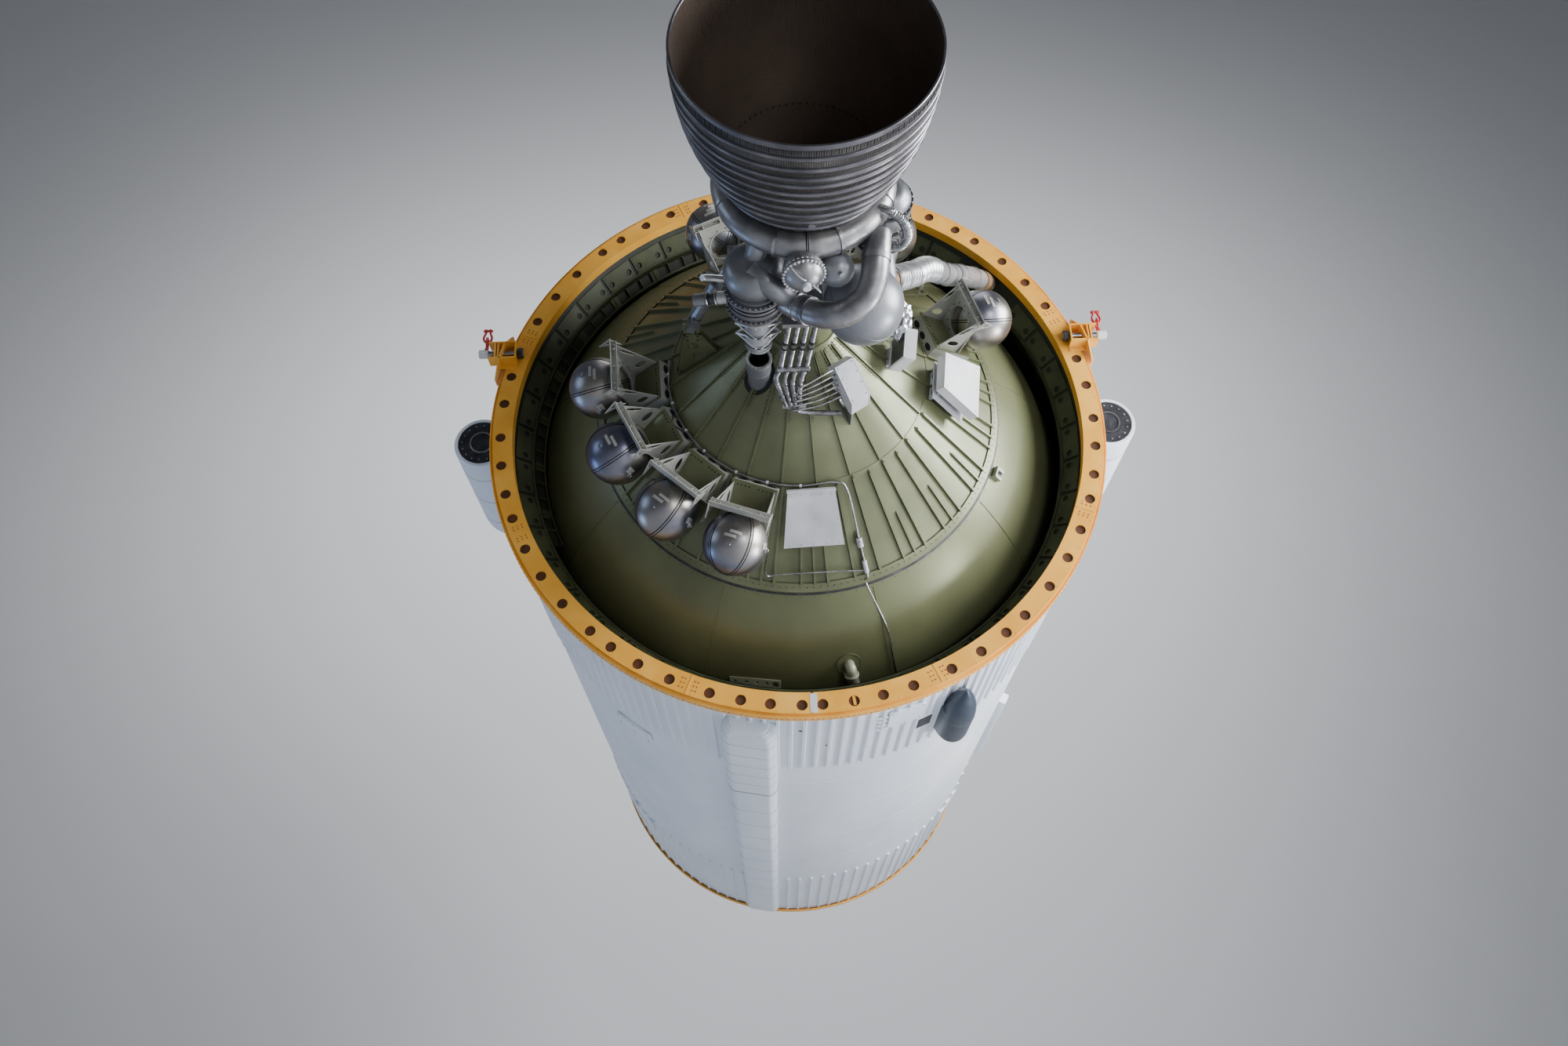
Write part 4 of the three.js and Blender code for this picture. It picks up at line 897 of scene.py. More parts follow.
# Helium spheres, each in the round hole of a leaning plate on a pedestal
SPHERES = [("1", -110), ("2", -131.7), ("3", -154.4), ("4", -176.9), ("5", 16.8),
           ("6", 114.5), ("7", 59)]
PLATE_GAP = 0.277  # from a sphere's centre to its leaning plate
ACROSS = Vector((1, 0, 0))
LEAN = Vector((0, 0.927, 0.375))
PLATE_UP = Vector((0, -0.375, 0.927))
for name, clock in SPHERES:
    own = sphere_frame(clock)
    sphere = Form()
    sphere.add(ball(SPHERE_RADIUS - 0.001, 96, 48), own @ STAND_UP)
    for angle in (40, -35):  # strap bands through the poles on the leaning plate's axis
        over = PLATE_UP * math.cos(math.radians(angle)) + ACROSS * math.sin(math.radians(angle))
        band = own @ axes((0, 0, 0), LEAN, LEAN.cross(over), -over)
        sphere.add(hoop(SPHERE_RADIUS - 0.004, SPHERE_RADIUS + 0.001, -0.008, 0.008, 96), band)
        for side in (-0.012, 0.012):
            sphere.add(hoop(SPHERE_RADIUS - 0.004, SPHERE_RADIUS + 0.0018, side - 0.005,
                            side + 0.005, 96), band, 1)
    boss = own @ aimed(Vector((0, 0, 0)), Vector((0, -0.237, 0.971)))
    sphere.add(hoop(0.018, 0.03, 0.31, SPHERE_RADIUS + 0.004, 32), boss)
    sphere.add(drum(0.014, 0.31, SPHERE_RADIUS + 0.008, 0.003, 24), boss, 2)
    side_boss = own @ aimed(Vector((0, 0, 0)), Vector((-0.984, -0.108, 0.142)))
    sphere.add(drum(0.034, 0.3, SPHERE_RADIUS + 0.014, 0.004, 32), side_boss, 2)
    sphere.add(drum(0.016, 0.3, SPHERE_RADIUS + 0.03, 0.003, 24), side_boss, 2)
    for out, first, last in (((0, -0.62, 0.785), -16, 6), ((0, -0.50, 0.866), -8, 14),
                             ((-0.93, -0.30, 0.21), -7, 7), ((-0.95, -0.20, 0.24), -7, 7)):
        out = Vector(out).normalized()
        along = ACROSS if abs(out.x) < 0.5 else PLATE_UP
        along = (along - out * along.dot(out)).normalized()
        strip = own @ axes((0, 0, 0), out, along.cross(out), along)
        sphere.add(hoop(SPHERE_RADIUS - 0.003, SPHERE_RADIUS + 0.002, -0.015, 0.015, 12, first,
                        last - first), strip, 3)
    piece(f"sphere_{name}", sphere, "root", [SPHERE, BLACK, STEEL, SHEET],
          [f"helium_sphere_{name}"])
    bracket = Form()
    bracket.add(box((-0.228, 0.228), (-0.525, 0.06), (-0.53, -0.338)), own, 0)
    bracket.add(box((-0.236, 0.236), (-0.533, 0.068), (-0.338, -0.329)), own, 1)
    # Black ovals on the pedestal's face: painted shade of its holes
    for k in (-1, 0, 1):
        bracket.add(plate(oval(k * 0.15, 0, 0.05, 0.03), 0.003),
                    own @ shift(0, -0.5255, -0.43) @ turn(90, "X"), 2)
    leaning = axes(LEAN * -(PLATE_GAP + 0.008), (1, 0, 0), PLATE_UP, LEAN)
    bracket.add(plate(four_sided(0.24, -0.228, 0.29), 0.01, [circle(0, 0, 0.165, 48)]),
                own @ leaning, 0)
    bracket.add(hoop(0.160, 0.176, -0.012, 0.012, 48), own @ leaning @ STAND_UP, 0)
    for k in range(12):
        bracket.add(bolt(0.007, 0.007), own @ leaning @ turn(15 + 30 * k, "Z")
                    @ shift(0.195, 0, -0.005) @ turn(180, "X"), 2)
    gusset = [(-0.505, -0.335), (-0.19, -0.335), (-0.345, 0.165), (-0.405, 0.165)]
    slots = [oval(-0.405, -0.02, 0.09, 0.02, 72), oval(-0.36, -0.24, 0.075, 0.038)]
    # The rail is a channel, open on the side away from the sphere
    for flange in ([(-0.405, 0.215), (-0.345, 0.165), (-0.349, 0.158), (-0.409, 0.206)],
                   [(-0.425, 0.148), (-0.425, 0.140), (-0.365, 0.140), (-0.365, 0.148)],
                   [(-0.345, 0.165), (-0.365, 0.140), (-0.373, 0.142), (-0.354, 0.167)]):
        bracket.add(plate(flange, 0.604), own @ ALONG_X, 0)
    for k in (-1, 0, 1):
        bracket.add(box((k * 0.2 - 0.004, k * 0.2 + 0.004), (-0.41, -0.36), (0.144, 0.175)), own, 0)
    for side in (1, -1):
        bracket.add(plate(gusset, 0.008, slots),
                    own @ shift(side * 0.24, 0, 0) @ turn(math.degrees(side * 0.1), "Y") @ ALONG_X, 0)
        ear = [(-0.41, 0.06), (-0.395, 0.215), (-0.23, 0.205)]
        bracket.add(plate(ear, 0.008, [oval(-0.345, 0.165, 0.04, 0.018, 30)]),
                    own @ shift(side * 0.298, 0, 0) @ ALONG_X, 0)
        for k in range(5):
            bracket.add(bolt(0.008, 0.008), own @ shift(side * (0.05 + 0.04 * k), -0.49, -0.329), 2)
    piece(f"bracket_{name}", bracket, "root", [SHEET, CONE, BLACK],
          [f"sphere_bracket_{name}"], bevel=0.002)
# Two struts at the third sphere's bracket
struts = Form()
own = sphere_frame(-154.4)
for side in (-1, 1):
    struts.rod(own @ Vector((side * 0.2, -0.56, -0.49)), own @ Vector((side * 0.02, -0.52, -0.33)),
               0.008)
piece("sphere_struts", struts, "root", [DARK_STEEL])

# Boxes and panels on the thrust cone
JUNCTION_CLOCK, JUNCTION_Y = -57, -1.601
seat = cone_at(JUNCTION_CLOCK, JUNCTION_Y)
junction = Form()
outline = [(-0.195, 0.19), (-0.195, 0.35), (0.195, 0.35), (0.32, 0.225), (0.29, 0.19)]
junction.add(plate(outline, 0.205), seat @ ALONG_X, 0)
for side in (-0.1045, 0.1045):
    grown = [(x + (0.003 if x > 0 else -0.003), y + (0.003 if y > 0.2 else -0.003))
             for x, y in outline]
    junction.add(plate(grown, 0.006), seat @ shift(side, 0, 0) @ ALONG_X, 1)
foot = [(-0.06, 0.2), (-0.06, -0.08), (0.47, -0.08), (0.47, 0.01), (0.30, 0.2)]
junction.add(plate(foot, 0.02, [oval(x, 0.07, 0.06, 0.04) for x in (0.05, 0.22)]),
             seat @ shift(0.07, 0, 0) @ ALONG_X, 2)
bolt_rows(junction, seat, (-0.08, 0.08), (-0.17, -0.06, 0.05, 0.17), 0.35, bolt(0.007, 0.006), 3)
for k in range(6):
    start = seat @ Vector((-0.1, -0.16 + 0.055 * k, 0.255))
    junction.rod(start, start + (seat.to_3x3() @ Vector((-0.03, 0, 0))), 0.017, 3, 12)
piece("junction_box_skin", junction, "root", [BOX, BOX_WHITE, PUMP, STEEL],
      ["junction_box"], bevel=0.003)

seat = cone_at(-8.5, -1.409)
control = Form()
side_outline = [(0, 0.327), (0.09, 0.386), (0.152, 0.116), (0.062, 0.057)]
control.add(plate(side_outline, 0.35), seat @ ALONG_X, 0)
face = axes((0, 0.031, 0.192), (1, 0, 0), (0, 0.224, -0.975), (0, -0.975, -0.224))
opening = four_sided(0.15, -0.115, 0.115)
control.add(plate(four_sided(0.17, -0.135, 0.135), 0.014, [opening]),
            seat @ face @ shift(0, 0, 0.006), 0)
control.add(plate(opening, 0.004), seat @ face @ shift(0, 0, 0.001), 1)
bolt_rows(control, seat @ face, (-0.16, -0.06, 0.06, 0.16), (-0.125, 0.125), 0.013,
          bolt(0.006, 0.004), 2)
control.add(box((-0.1, 0.1), (0.065, 0.135), (-0.06, 0.14)), seat, 3)
piece("control_box_skin", control, "root", [BOX_WHITE, PUMP, STEEL, BOX],
      ["control_box"], bevel=0.004)
# A crumpled lump of foil beside the control box
foil = Form()
points, faces = ball(1, 40, 24)
crumpled = []
for x, y, z in points:
    crease = 1 + 0.10 * math.sin(7 * x + 3 * z) * math.sin(9 * y) + 0.07 * math.sin(17 * z + 5 * y)
    crumpled.append((x * crease * 0.115, y * crease * 0.19, z * crease * 0.1))
lump = shift(-0.08, -0.014, 0.03) @ aimed(seat @ Vector((-0.13, 0.035, 0.29)),
                                                         seat @ Vector((-0.33, 0, 0.36)))
foil.add((crumpled, faces), lump @ shift(0, 0.11, 0))
piece("foil_lump", foil, "root", [FOIL], sharp=14)


def holed_rib(form, seat, y, half, low, high, hole):
    """An upright sheet across a seat, with two oval holes of (height, half length)."""
    holes = [oval(side * half / 2, *hole, 0.03) for side in (-1, 1)]
    form.add(plate(four_sided(half, low, high), 0.01, holes), seat @ shift(0, y, 0) @ turn(90, "X"), 1)


seat = cone_at(-7.9, -0.827)
equipment = Form()
outline = four_sided(0.204, -0.26, 0.26, 0.305)
equipment.add(plate(outline, 0.108), seat @ shift(0, 0, 0.24), 0)
equipment.add(plate([(x * 1.02, y * 1.02) for x, y in outline], 0.006), seat @ shift(0, 0, 0.297), 0)
equipment.add(plate([(-0.2, -0.23), (0.235, -0.23), (0.33, 0.23), (-0.28, 0.23)], 0.01),
              seat @ shift(0, 0, 0.11), 1)
for x in (-0.14, 0.16):
    for y in (-0.16, 0.16):
        equipment.rod(seat @ Vector((x, y, 0.11)), seat @ Vector((x, y, 0.19)), 0.02, 2)
for y, half in ((-0.15, 0.19), (0.17, 0.24)):
    holed_rib(equipment, seat, y, half, -0.06, 0.11, (0.045, 0.05))
for x, y in ((-0.17, -0.22), (0.17, -0.22), (-0.26, 0.22), (0.26, 0.22), (0, 0.22), (0, -0.22)):
    equipment.add(bolt(0.008, 0.006), seat @ shift(x, y, 0.30), 2)
piece("equipment_box_skin", equipment, "root", [BOX_WHITE, BOX, STEEL],
      ["equipment_box"], bevel=0.003)

seat = cone_at(-87.75, -0.751)
panel = Form()
panel.add(plate(four_sided(0.232, -0.285, 0.285, 0.3), 0.022), seat @ shift(0, 0, 0.115), 0)
panel.add(box((-0.24, 0.24), (-0.297, -0.273), (0.08, 0.15)), seat, 0)
for y, half in ((-0.2, 0.2), (0.22, 0.24)):
    holed_rib(panel, seat, y, half, -0.04, 0.105, (0.04, 0.06))
for x in (-0.2, -0.1, 0, 0.1, 0.2):
    panel.add(bolt(0.006, 0.005), seat @ shift(x, -0.24, 0.126), 2)
    panel.add(bolt(0.006, 0.005), seat @ shift(x * 1.25, 0.26, 0.126), 2)
piece("heat_shield_panel_skin", panel, "root", [BOX, SHEET, STEEL],
      ["heat_shield_panel"], bevel=0.003)

# Tunnel, conduit, fairings, pods, panels and hatches on the outside of the skin
tunnel = Form()
TUNNEL_CLOCK = -101
section = rounded([(-0.03, -0.28), (0.11, -0.28), (0.176, -0.215), (0.176, 0.215), (0.11, 0.28),
                   (-0.03, 0.28)], 0.03)


def tunnel_length(station, length, grow_x, grow_y, paint=0):
    """A length of the tunnel about a station, with its section grown."""
    outline = [(x * grow_x, y * grow_y) for x, y in section]
    tunnel.add(plate(outline, length), skin_frame(TUNNEL_CLOCK, station) @ ALONG_Y, paint)


tunnel_length(6.07, 11.06, 1, 1)
for way, end in ((1, 11.6), (-1, 0.54)):  # the rounded ends
    for k in range(4):
        slim = 1 - 0.07 * (k + 1) ** 2 / 4
        tunnel_length(end + way * (0.013 + 0.025 * k), 0.026, slim, slim)
tunnel_length(1.72, 2.2, 1.03, 1.035)  # the aft cover
for k in range(14):
    seam = 0.85 + 0.39 * k if k < 6 else 3.0 + 0.78 * (k - 5)
    grown = 1.034 if k < 6 else 1.004
    tunnel_length(seam, 0.006, grown, grown + 0.003, 2)
tunnel_length(2.825, 0.014, 1.036, 1.04, 2)
for k in range(90):
    for side in (-0.262, 0.262):
        tunnel.add(bolt(0.007, 0.006), skin_frame(TUNNEL_CLOCK, 0.7 + 0.12 * k)
                   @ shift(side * 0.9, 0, 0.131) @ turn(45 if side > 0 else -45, "Y"), 0)
piece("main_tunnel_skin", tunnel, "root", [WHITE, BOX, DARK_STEEL], ["main_tunnel"])

conduit = Form()
section = rounded([(-0.03, -0.075), (0.1, -0.075), (0.1, 0.075), (-0.03, 0.075)], 0.025)
conduit.add(plate(section, 2.6), skin_frame(-28, 6.6) @ ALONG_Y)
piece("side_conduit_skin", conduit, "root", [WHITE], ["side_conduit"], bevel=0.004)

for name, clock in (("right", -62), ("left", 118)):
    fairing = Form()
    place = skin_frame(clock, 0, SKIN + 0.13)
    profile = [(0, 0.45), (0.028, 0.475), (0.07, 0.565), (0.105, 0.655), (0.135, 0.76), (0.158, 0.87),
               (0.171, 0.98), (0.176, 1.1), (0.176, 1.66), (0.17, 1.73), (0.15, 1.79), (0.11, 1.84),
               (0.06, 1.87), (0, 1.88)]
    fairing.add(revolve(profile, 64), place, 0)
    fairing.add(plate(rounded(four_sided(0.173, 0.95, 1.78), 0.05), 0.15),
                skin_frame(clock, 0, SKIN + 0.06), 0)
    fairing.add(hoop(0.17, 0.1785, 1.1, 1.108, 64), place, 1)
    piece(f"ullage_fairing_skin_{name}", fairing, "root", [SLATE, PUMP],
          [f"ullage_fairing_{name}"])

POD_RADIUS = 0.318
for name, clock in (("right", 3.2), ("left", 176.8)):
    pod = Form()
    place = skin_frame(clock, 0, SKIN + POD_RADIUS)
    profile = [(0, 0.62), (0.27, 0.62), (0.275, 0.602), (0.305, 0.602), (0.315, 0.62),
               (POD_RADIUS, 0.65), (POD_RADIUS, 2.25), (0.305, 2.35), (0.27, 2.47), (0.2, 2.6),
               (0.1, 2.67), (0, 2.69)]
    pod.add(revolve(profile, 96), place, 0)
    pod.add(hoop(0.0, 0.268, 0.608, 0.616, 64), place, 1)
    pod.add(hoop(0.12, 0.14, 0.600, 0.61, 48), place, 2)
    bolted(pod, place, 0.225, 0.608, 16, bolt(0.011, 0.009), 2)
    for y in (0.95, 1.5, 2.05):
        pod.add(hoop(0.31, 0.3195, y, y + 0.012, 96), place, 2)
    pod.add(plate(rounded(four_sided(0.21, 0.66, 2.34), 0.06), 0.35),
            skin_frame(clock, 0, SKIN + 0.155), 0)
    piece(f"attitude_pod_skin_{name}", pod, "root", [WHITE, DARK_STEEL, STEEL],
          [f"attitude_pod_{name}"])

panels = Form()
for clock, y, half_x, half_y in (
    (-72.5, 0.75, 0.2, 0.25), (-128, 2.62, 0.25, 0.15), (-38, 9.75, 0.25, 0.3),
    (-142, 9.75, 0.25, 0.3), (60, 9.8, 0.25, 0.3), (118, 2.6, 0.25, 0.18), (-20, 11.3, 0.21, 0.21),
    (-160, 11.3, 0.21, 0.21), (90, 10.6, 0.3, 0.3),
):
    place = skin_frame(clock, y, SKIN + 0.016)
    panels.add(plate(rounded(four_sided(half_x, -half_y, half_y), 0.04), 0.03), place, 0)
    x, y = 0.85 * half_x, 0.85 * half_y
    bolt_rows(panels, place, (-x, 0, x), (-y, y), 0.015, bolt(0.009, 0.006), 2)
for clock, y in ((-91.9, 0.73), (-86.8, 1.30), (-75.2, 1.07), (-73.6, 1.02), (-79.0, 1.62)):
    panels.add(drum(0.022, 0, 0.003, 0.001, 20), skin_frame(clock, y, SKIN + 0.002) @ STAND_UP, 1)
# Vent bars, each with a dark strip beside it: painted shade of the slot
for i in range(4):
    for k in range(4):
        bar = skin_frame(-77.6 + 1.05 * i, 0.58 + 0.13 * k, SKIN + 0.03)
        panels.add(box((-0.02, 0.02), (-0.012, 0.012), (-0.02, 0.006)), bar, 0)
        panels.add(box((-0.018, 0.018), (0.013, 0.022), (-0.02, -0.002)), bar, 1)
dark = skin_frame(-68, 1.26, SKIN + 0.026)
panels.add(box((-0.1, 0.1), (-0.18, 0.18), (-0.03, 0.002)), dark, 0)
panels.add(box((-0.085, 0.085), (-0.16, 0.16), (-0.03, 0.004)), dark, 1)
piece("skin_panels", panels, "root", [WHITE, DARK_STEEL, STEEL], bevel=0.003)

# Pipes on the cone and dome
RING_TUBE_RADIUS = 1.345
RING_TUBE_Y = -0.99
TURN_CLOCK = -73.3  # where the ring tube turns off towards the dome
ring_points = [polar(RING_TUBE_RADIUS, clock, RING_TUBE_Y)
               for clock in (-187.5, -172, -156, -140, -124, -108, -92, -78)]
down_points = [over_cone(1.4, TURN_CLOCK, 0.058), over_cone(1.8, TURN_CLOCK, 0.06),
               over_cone(2.08, TURN_CLOCK, 0.05), (0.6, -0.205, -2.07), (0.811, 0.159, -2.41),
               (0.873, 0.419, -2.6), (0.943, 0.721, -2.776)]
line = Form()
line.add(tube([*ring_points, *down_points], 0.0115, 12, 8))
for clock in (-180, -165, -150, -137, -120, -106, -92):
    spot = polar(RING_TUBE_RADIUS, clock, RING_TUBE_Y)
    line.rod(polar(1.29, clock, -0.93), spot, 0.006)
    line.rod(spot - polar(0.012, clock + 90), spot + polar(0.012, clock + 90), 0.017, 1)
for start, end, off0, off1, radius in (
    (1.78, 1.85, 0.06, 0.06, 0.03), (1.81, 1.8101, -0.02, 0.11, 0.016),
    (1.96, 2.06, 0.055, 0.055, 0.024), (2.01, 2.0101, -0.02, 0.05, 0.012),
):
    line.rod(over_cone(start, TURN_CLOCK, off0), over_cone(end, TURN_CLOCK, off1), radius, 1, 24)
line.add(tube([over_cone(2.0, -98, 0.06), over_cone(1.985, -86, 0.05),
               over_cone(2.04, TURN_CLOCK, 0.052)], 0.0078, 10, 8))
piece("ring_tube_skin", line, "root", [STEEL, BOX], ["ring_tube"])

VENT_END = Vector((0.443, 0.5, -2.8))
vent = Form()
vent_line = [(0.495, 1.1, -2.92), (0.492, 0.85, -2.88), (0.47, 0.64, -2.85), VENT_END]
vent.add(tube(vent_line, 0.062, 32, 8))
flange = aimed(VENT_END, Vector((0.43, 0.44, -2.755)))
vent.add(drum(0.078, -0.004, 0.022, 0.004, 32), flange, 1)
vent.add(drum(0.05, 0.035, 0.068, 0.003, 32), flange, 1)
bolted(vent, flange, 0.07, 0.04, 8, bolt(0.007, 0.008), 1, -90)
piece("vent_pipe_skin", vent, "root", [PIPE_GREY, PALE_GREEN], ["vent_pipe"])

dome_bits = Form()
vent_seat = dome_frame(-81.2, 2.727)
dome_bits.add(plate(circle(0, 0, 0.13, 48), 0.006), vent_seat @ shift(0, 0, 0.002), 0)
dome_bits.add(hoop(0.122, 0.13, -0.002, 0.01, 64), vent_seat @ STAND_UP, 0)
neck = [vent_seat @ Vector((0, 0, 0)), vent_seat @ Vector((0, 0, 0.05)),
        Vector((0.436, 0.415, -2.775)), VENT_END]
dome_bits.add(tube(neck, 0.055, 24, 8), paint=2)
knob = dome_frame(-63.6, 2.921)
dome_bits.add(drum(0.055, -0.01, 0.16, 0.006, 32), knob @ STAND_UP, 0)
thin = [sphere_frame(-110) @ Vector((-0.33, -0.04, 0.045)), over_cone(2.0, -101.5, 0.11),
        over_cone(2.0, -98, 0.06)]
dome_bits.add(tube(thin, 0.0078, 10, 8), paint=1)
hood = dome_frame(-22, 2.2325)
dome_bits.add(drum(0.045, -0.005, 0.012, 0.003, 24), hood @ STAND_UP, 0)
for side in (-1, 1):
    dome_bits.add(box((side * 0.045 - 0.016, side * 0.045 + 0.016), (-0.05, 0.05), (-0.005, 0.055)),
                  hood, 2)
dome_bits.add(box((-0.03, 0.03), (-0.03, 0.05), (-0.005, 0.03)), hood, 3)
dome_bits.add(box((-0.06, 0.06), (-0.056, -0.036), (0.01, 0.06)), hood, 2)
low, high = Vector((-0.835, 0.655, -2.76)), Vector((-0.29, 0.61, -2.845))
middle = (low + high) / 2
out = (middle - DOME_CENTRE).normalized()
run = (high - low).normalized()
holed = axes(middle, run, out.cross(run), out)
dome_bits.add(plate(four_sided(0.27, -0.09, 0.07), 0.01,
                    [circle(x, 0.02, 0.019, 24) for x in (-0.21, -0.09, 0.02, 0.12)]
                    + [circle(0.215, 0.01, 0.036, 28)]), holed, 2)
for x in (-0.25, 0.25):
    dome_bits.add(box((x - 0.012, x + 0.012), (-0.05, 0.05), (-0.06, 0)), holed, 0)
piece("dome_fittings", dome_bits, "root", [CONE, STEEL, PALE_GREEN, DARK_STEEL],
      bevel=0.002)

# Fuel duct and its two bellows
INLET = Vector((0.793, -2.7, -0.193))
MOUTH = Vector((1.033, -2.42, 0.076))
duct_line = (MOUTH - INLET).normalized()
duct_middle = (INLET + MOUTH) / 2
duct_points = [MOUTH, MOUTH + duct_line * 0.06, (1.241, -2.1, 0.381), (1.563, -1.35, 0.884),
               (1.824, -0.8, 1.289), (2.058, -0.35, 1.595), (2.222, 0, 1.813), (2.44, 0.52, 2.12)]
RIBS_START, RIBS_END = 0.03, 0.73  # the ribbed length, measured from the mouth
RIB_PITCH = 0.1


def duct_radius(run):
    """Ribs near the mouth and a smooth pipe beyond them."""
    if RIBS_START < run < RIBS_END:
        return 0.104 + 0.02 * swell((run - RIBS_START) / RIB_PITCH)
    return 0.11


duct = Form()
duct.add(tube(duct_points, duct_radius, 48, 64), paint=0)
stations = smooth_line(duct_points, 64)
# Collars, and dark hoops of painted shade in the troughs between the ribs: (length run from the mouth,
# width, paint)
collars = ((0.005, 0.02, 0), (0.74, 0.03, 0), (1.05, 0.02, 1), (1.5, 0.008, 0), (1.75, 0.04, 1),
           (2.1, 0.008, 0), (2.7, 0.03, 0), (3.1, 0.25, 2), (3.5, 0.03, 2))
trough_shades = [(RIBS_START + RIB_PITCH * k - 0.012, 0.024, 3) for k in range(1, 7)]
for where, width, paint in [*collars, *trough_shades]:
    run = 0.0
    for a, b in zip(stations, stations[1:]):
        run += (b - a).length
        if run >= where:
            break
    duct.add(hoop(0.1, 0.1068 if paint == 3 else 0.121, 0, width, 48), aimed(a, b), paint)
duct.rod(MOUTH + duct_line * 0.3 + Vector((0.0, 0, -0.11)), Vector((1.18, -1.62, 0.42)), 0.012, 1)
piece("fuel_duct_skin", duct, "root", [DUCT, STEEL, RUST, DARK_STEEL], ["fuel_duct"])


def bellows(node, start, end, bodies):
    form = Form()
    run = (end - start).length
    count = 3
    profile = [(0.0, 0.002), (0.12, 0.002), (0.12, 0.022), (0.112, 0.026)]
    profile += ribs(0.106, 0.02, 0.028, run - 0.028, count, 12)
    profile += [(0.112, run - 0.026), (0.12, run - 0.022), (0.12, run - 0.002), (0, run - 0.002)]
    form.add(revolve(profile, 48), aimed(start, end))
    # Dark hoops in the troughs between the ribs: painted shade
    for i in range(1, count):
        groove = 0.028 + (run - 0.056) * i / count
        form.add(hoop(0.1, 0.1085, groove - 0.01, groove + 0.01, 48), aimed(start, end), 1)
    piece(f"{node}_skin", form, (*bodies, start, end), [DUCT, DARK_STEEL], [node])


bellows("fuel_bellows_fixed", MOUTH, duct_middle, ("root", "gimbal"))
bellows("fuel_bellows_engine", duct_middle, INLET, ("gimbal", "engine"))


# Nozzle bell
def bell_radius(y):
    """The bell's radius from its exit up to the manifold."""
    s = (y - BELL_EXIT_Y) / 1.2
    return BELL_EXIT_RADIUS - 0.2 * s**2 - 0.1 * s**3


stations = [BELL_EXIT_Y + 1.25 * i / 40 for i in range(41)]
outer = [(bell_radius(y), y) for y in stations]
outer += [(0.62, -3.9), (0.56, -3.82), (0.49, -3.71), (0.42, -3.62), (0.34, -3.49), (0.25, -3.34),
          (0.187, -3.201)]
bell = Form()
bell.add(revolve(outer), paint=0)
inner = [(radius - 0.015, y) for radius, y in outer]
bell.add(revolve(inner), paint=2)
bell.add(revolve([outer[-1], inner[-1]]), paint=0)
bell.add(revolve([(0.982, -5.248), (0.986, -5.256), (1.002, -5.256), (1.006, -5.25),
                  (1.006, -5.215), (1.0, -5.21), (0.998, -5.20)]), paint=1)
BANDS = [-5.12, -5.005, -4.902, -4.817, -4.713, -4.613, -4.501, -4.371, -4.239, -4.046]
for y in BANDS:
    rise = [(bell_radius(y) - 0.003 + 0.02 * math.sin(math.pi * k / 10),
             y - 0.021 * math.cos(math.pi * k / 10)) for k in range(11)]
    bell.add(revolve(rise), paint=1)
    for side in (-0.024, 0.024):
        edge = bell_radius(y + side)
        bell.add(revolve([(edge + 0.0005, y + side - 0.004), (edge + 0.003, y + side),
                          (edge + 0.0005, y + side + 0.004)]), paint=3)
for k in range(240):
    bell.add(box((-0.004, 0.004), (-0.022, 0.022), (-0.001, 0.004)),
             skin_frame(1.5 * k, -5.178, 0.9985), 0)
for k in range(72):
    bell.add(box((-0.006, 0.006), (-0.03, 0.03), (-0.004, 0.003)),
             skin_frame(5 * k, -3.98, 0.655), 3)
bell.add(plate(circle(0, 0, 0.03, 16), 0.02), skin_frame(-88, -4.13, 0.745), 1)
piece("nozzle_skin", bell, "engine", [BELL, BELL_BAND, BELL_INSIDE, DARK_STEEL],
      ["nozzle"])

# Exhaust manifold with its band flanges and seams
manifold = Form()
ring_section = []
for i in range(37):  # the part of the ring that stands outside the bell's wall
    angle = math.radians(-106 + 283 * i / 36)
    ring_section.append((MANIFOLD_RING + MANIFOLD_TUBE * math.cos(angle),
                         MANIFOLD_Y + MANIFOLD_TUBE * math.sin(angle)))
manifold.add(revolve(ring_section), paint=0)
for clock, grow, span, paint in (
    (-111, 0.012, 2.0, 1), (-68, 0.012, 2.0, 1), (-90, 0.003, 0.6, 0), (-20, 0.01, 2.0, 1),
    (-160, 0.01, 2.0, 1), (30, 0.01, 2.0, 1), (90, 0.01, 2.0, 1), (150, 0.01, 2.0, 1),
):
    size = (MANIFOLD_TUBE + grow) / MANIFOLD_TUBE
    section = [(MANIFOLD_RING + (r - MANIFOLD_RING) * size, MANIFOLD_Y + (y - MANIFOLD_Y) * size)
               for r, y in ring_section]
    band = section + ring_section[::-1]
    manifold.add(revolve(band, 4, True, clock - span / 2, span), paint=paint)
lug_place = skin_frame(-90, -3.70, 0.70)
manifold.add(plate([(-0.05, -0.04), (0.05, -0.04), (0, 0.07)], 0.012), lug_place @ turn(30, "X"), 0)
piece("exhaust_manifold_skin", manifold, "engine", [MANIFOLD, STEEL],
      ["exhaust_manifold"])


# Turbopumps
def soften(profile, steps=6):
    """A turned profile with its inner corners run into curves."""
    soft = [profile[0]]
    for i in range(1, len(profile) - 1):
        a, b, c = (Vector(profile[i + k]) for k in (-1, 0, 1))
        a, c = b + (a - b) * 0.35, b + (c - b) * 0.35
        for k in range(steps + 1):
            t = k / steps
            soft.append(tuple(a * (1 - t) ** 2 + b * 2 * t * (1 - t) + c * t**2))
    return [*soft, profile[-1]]


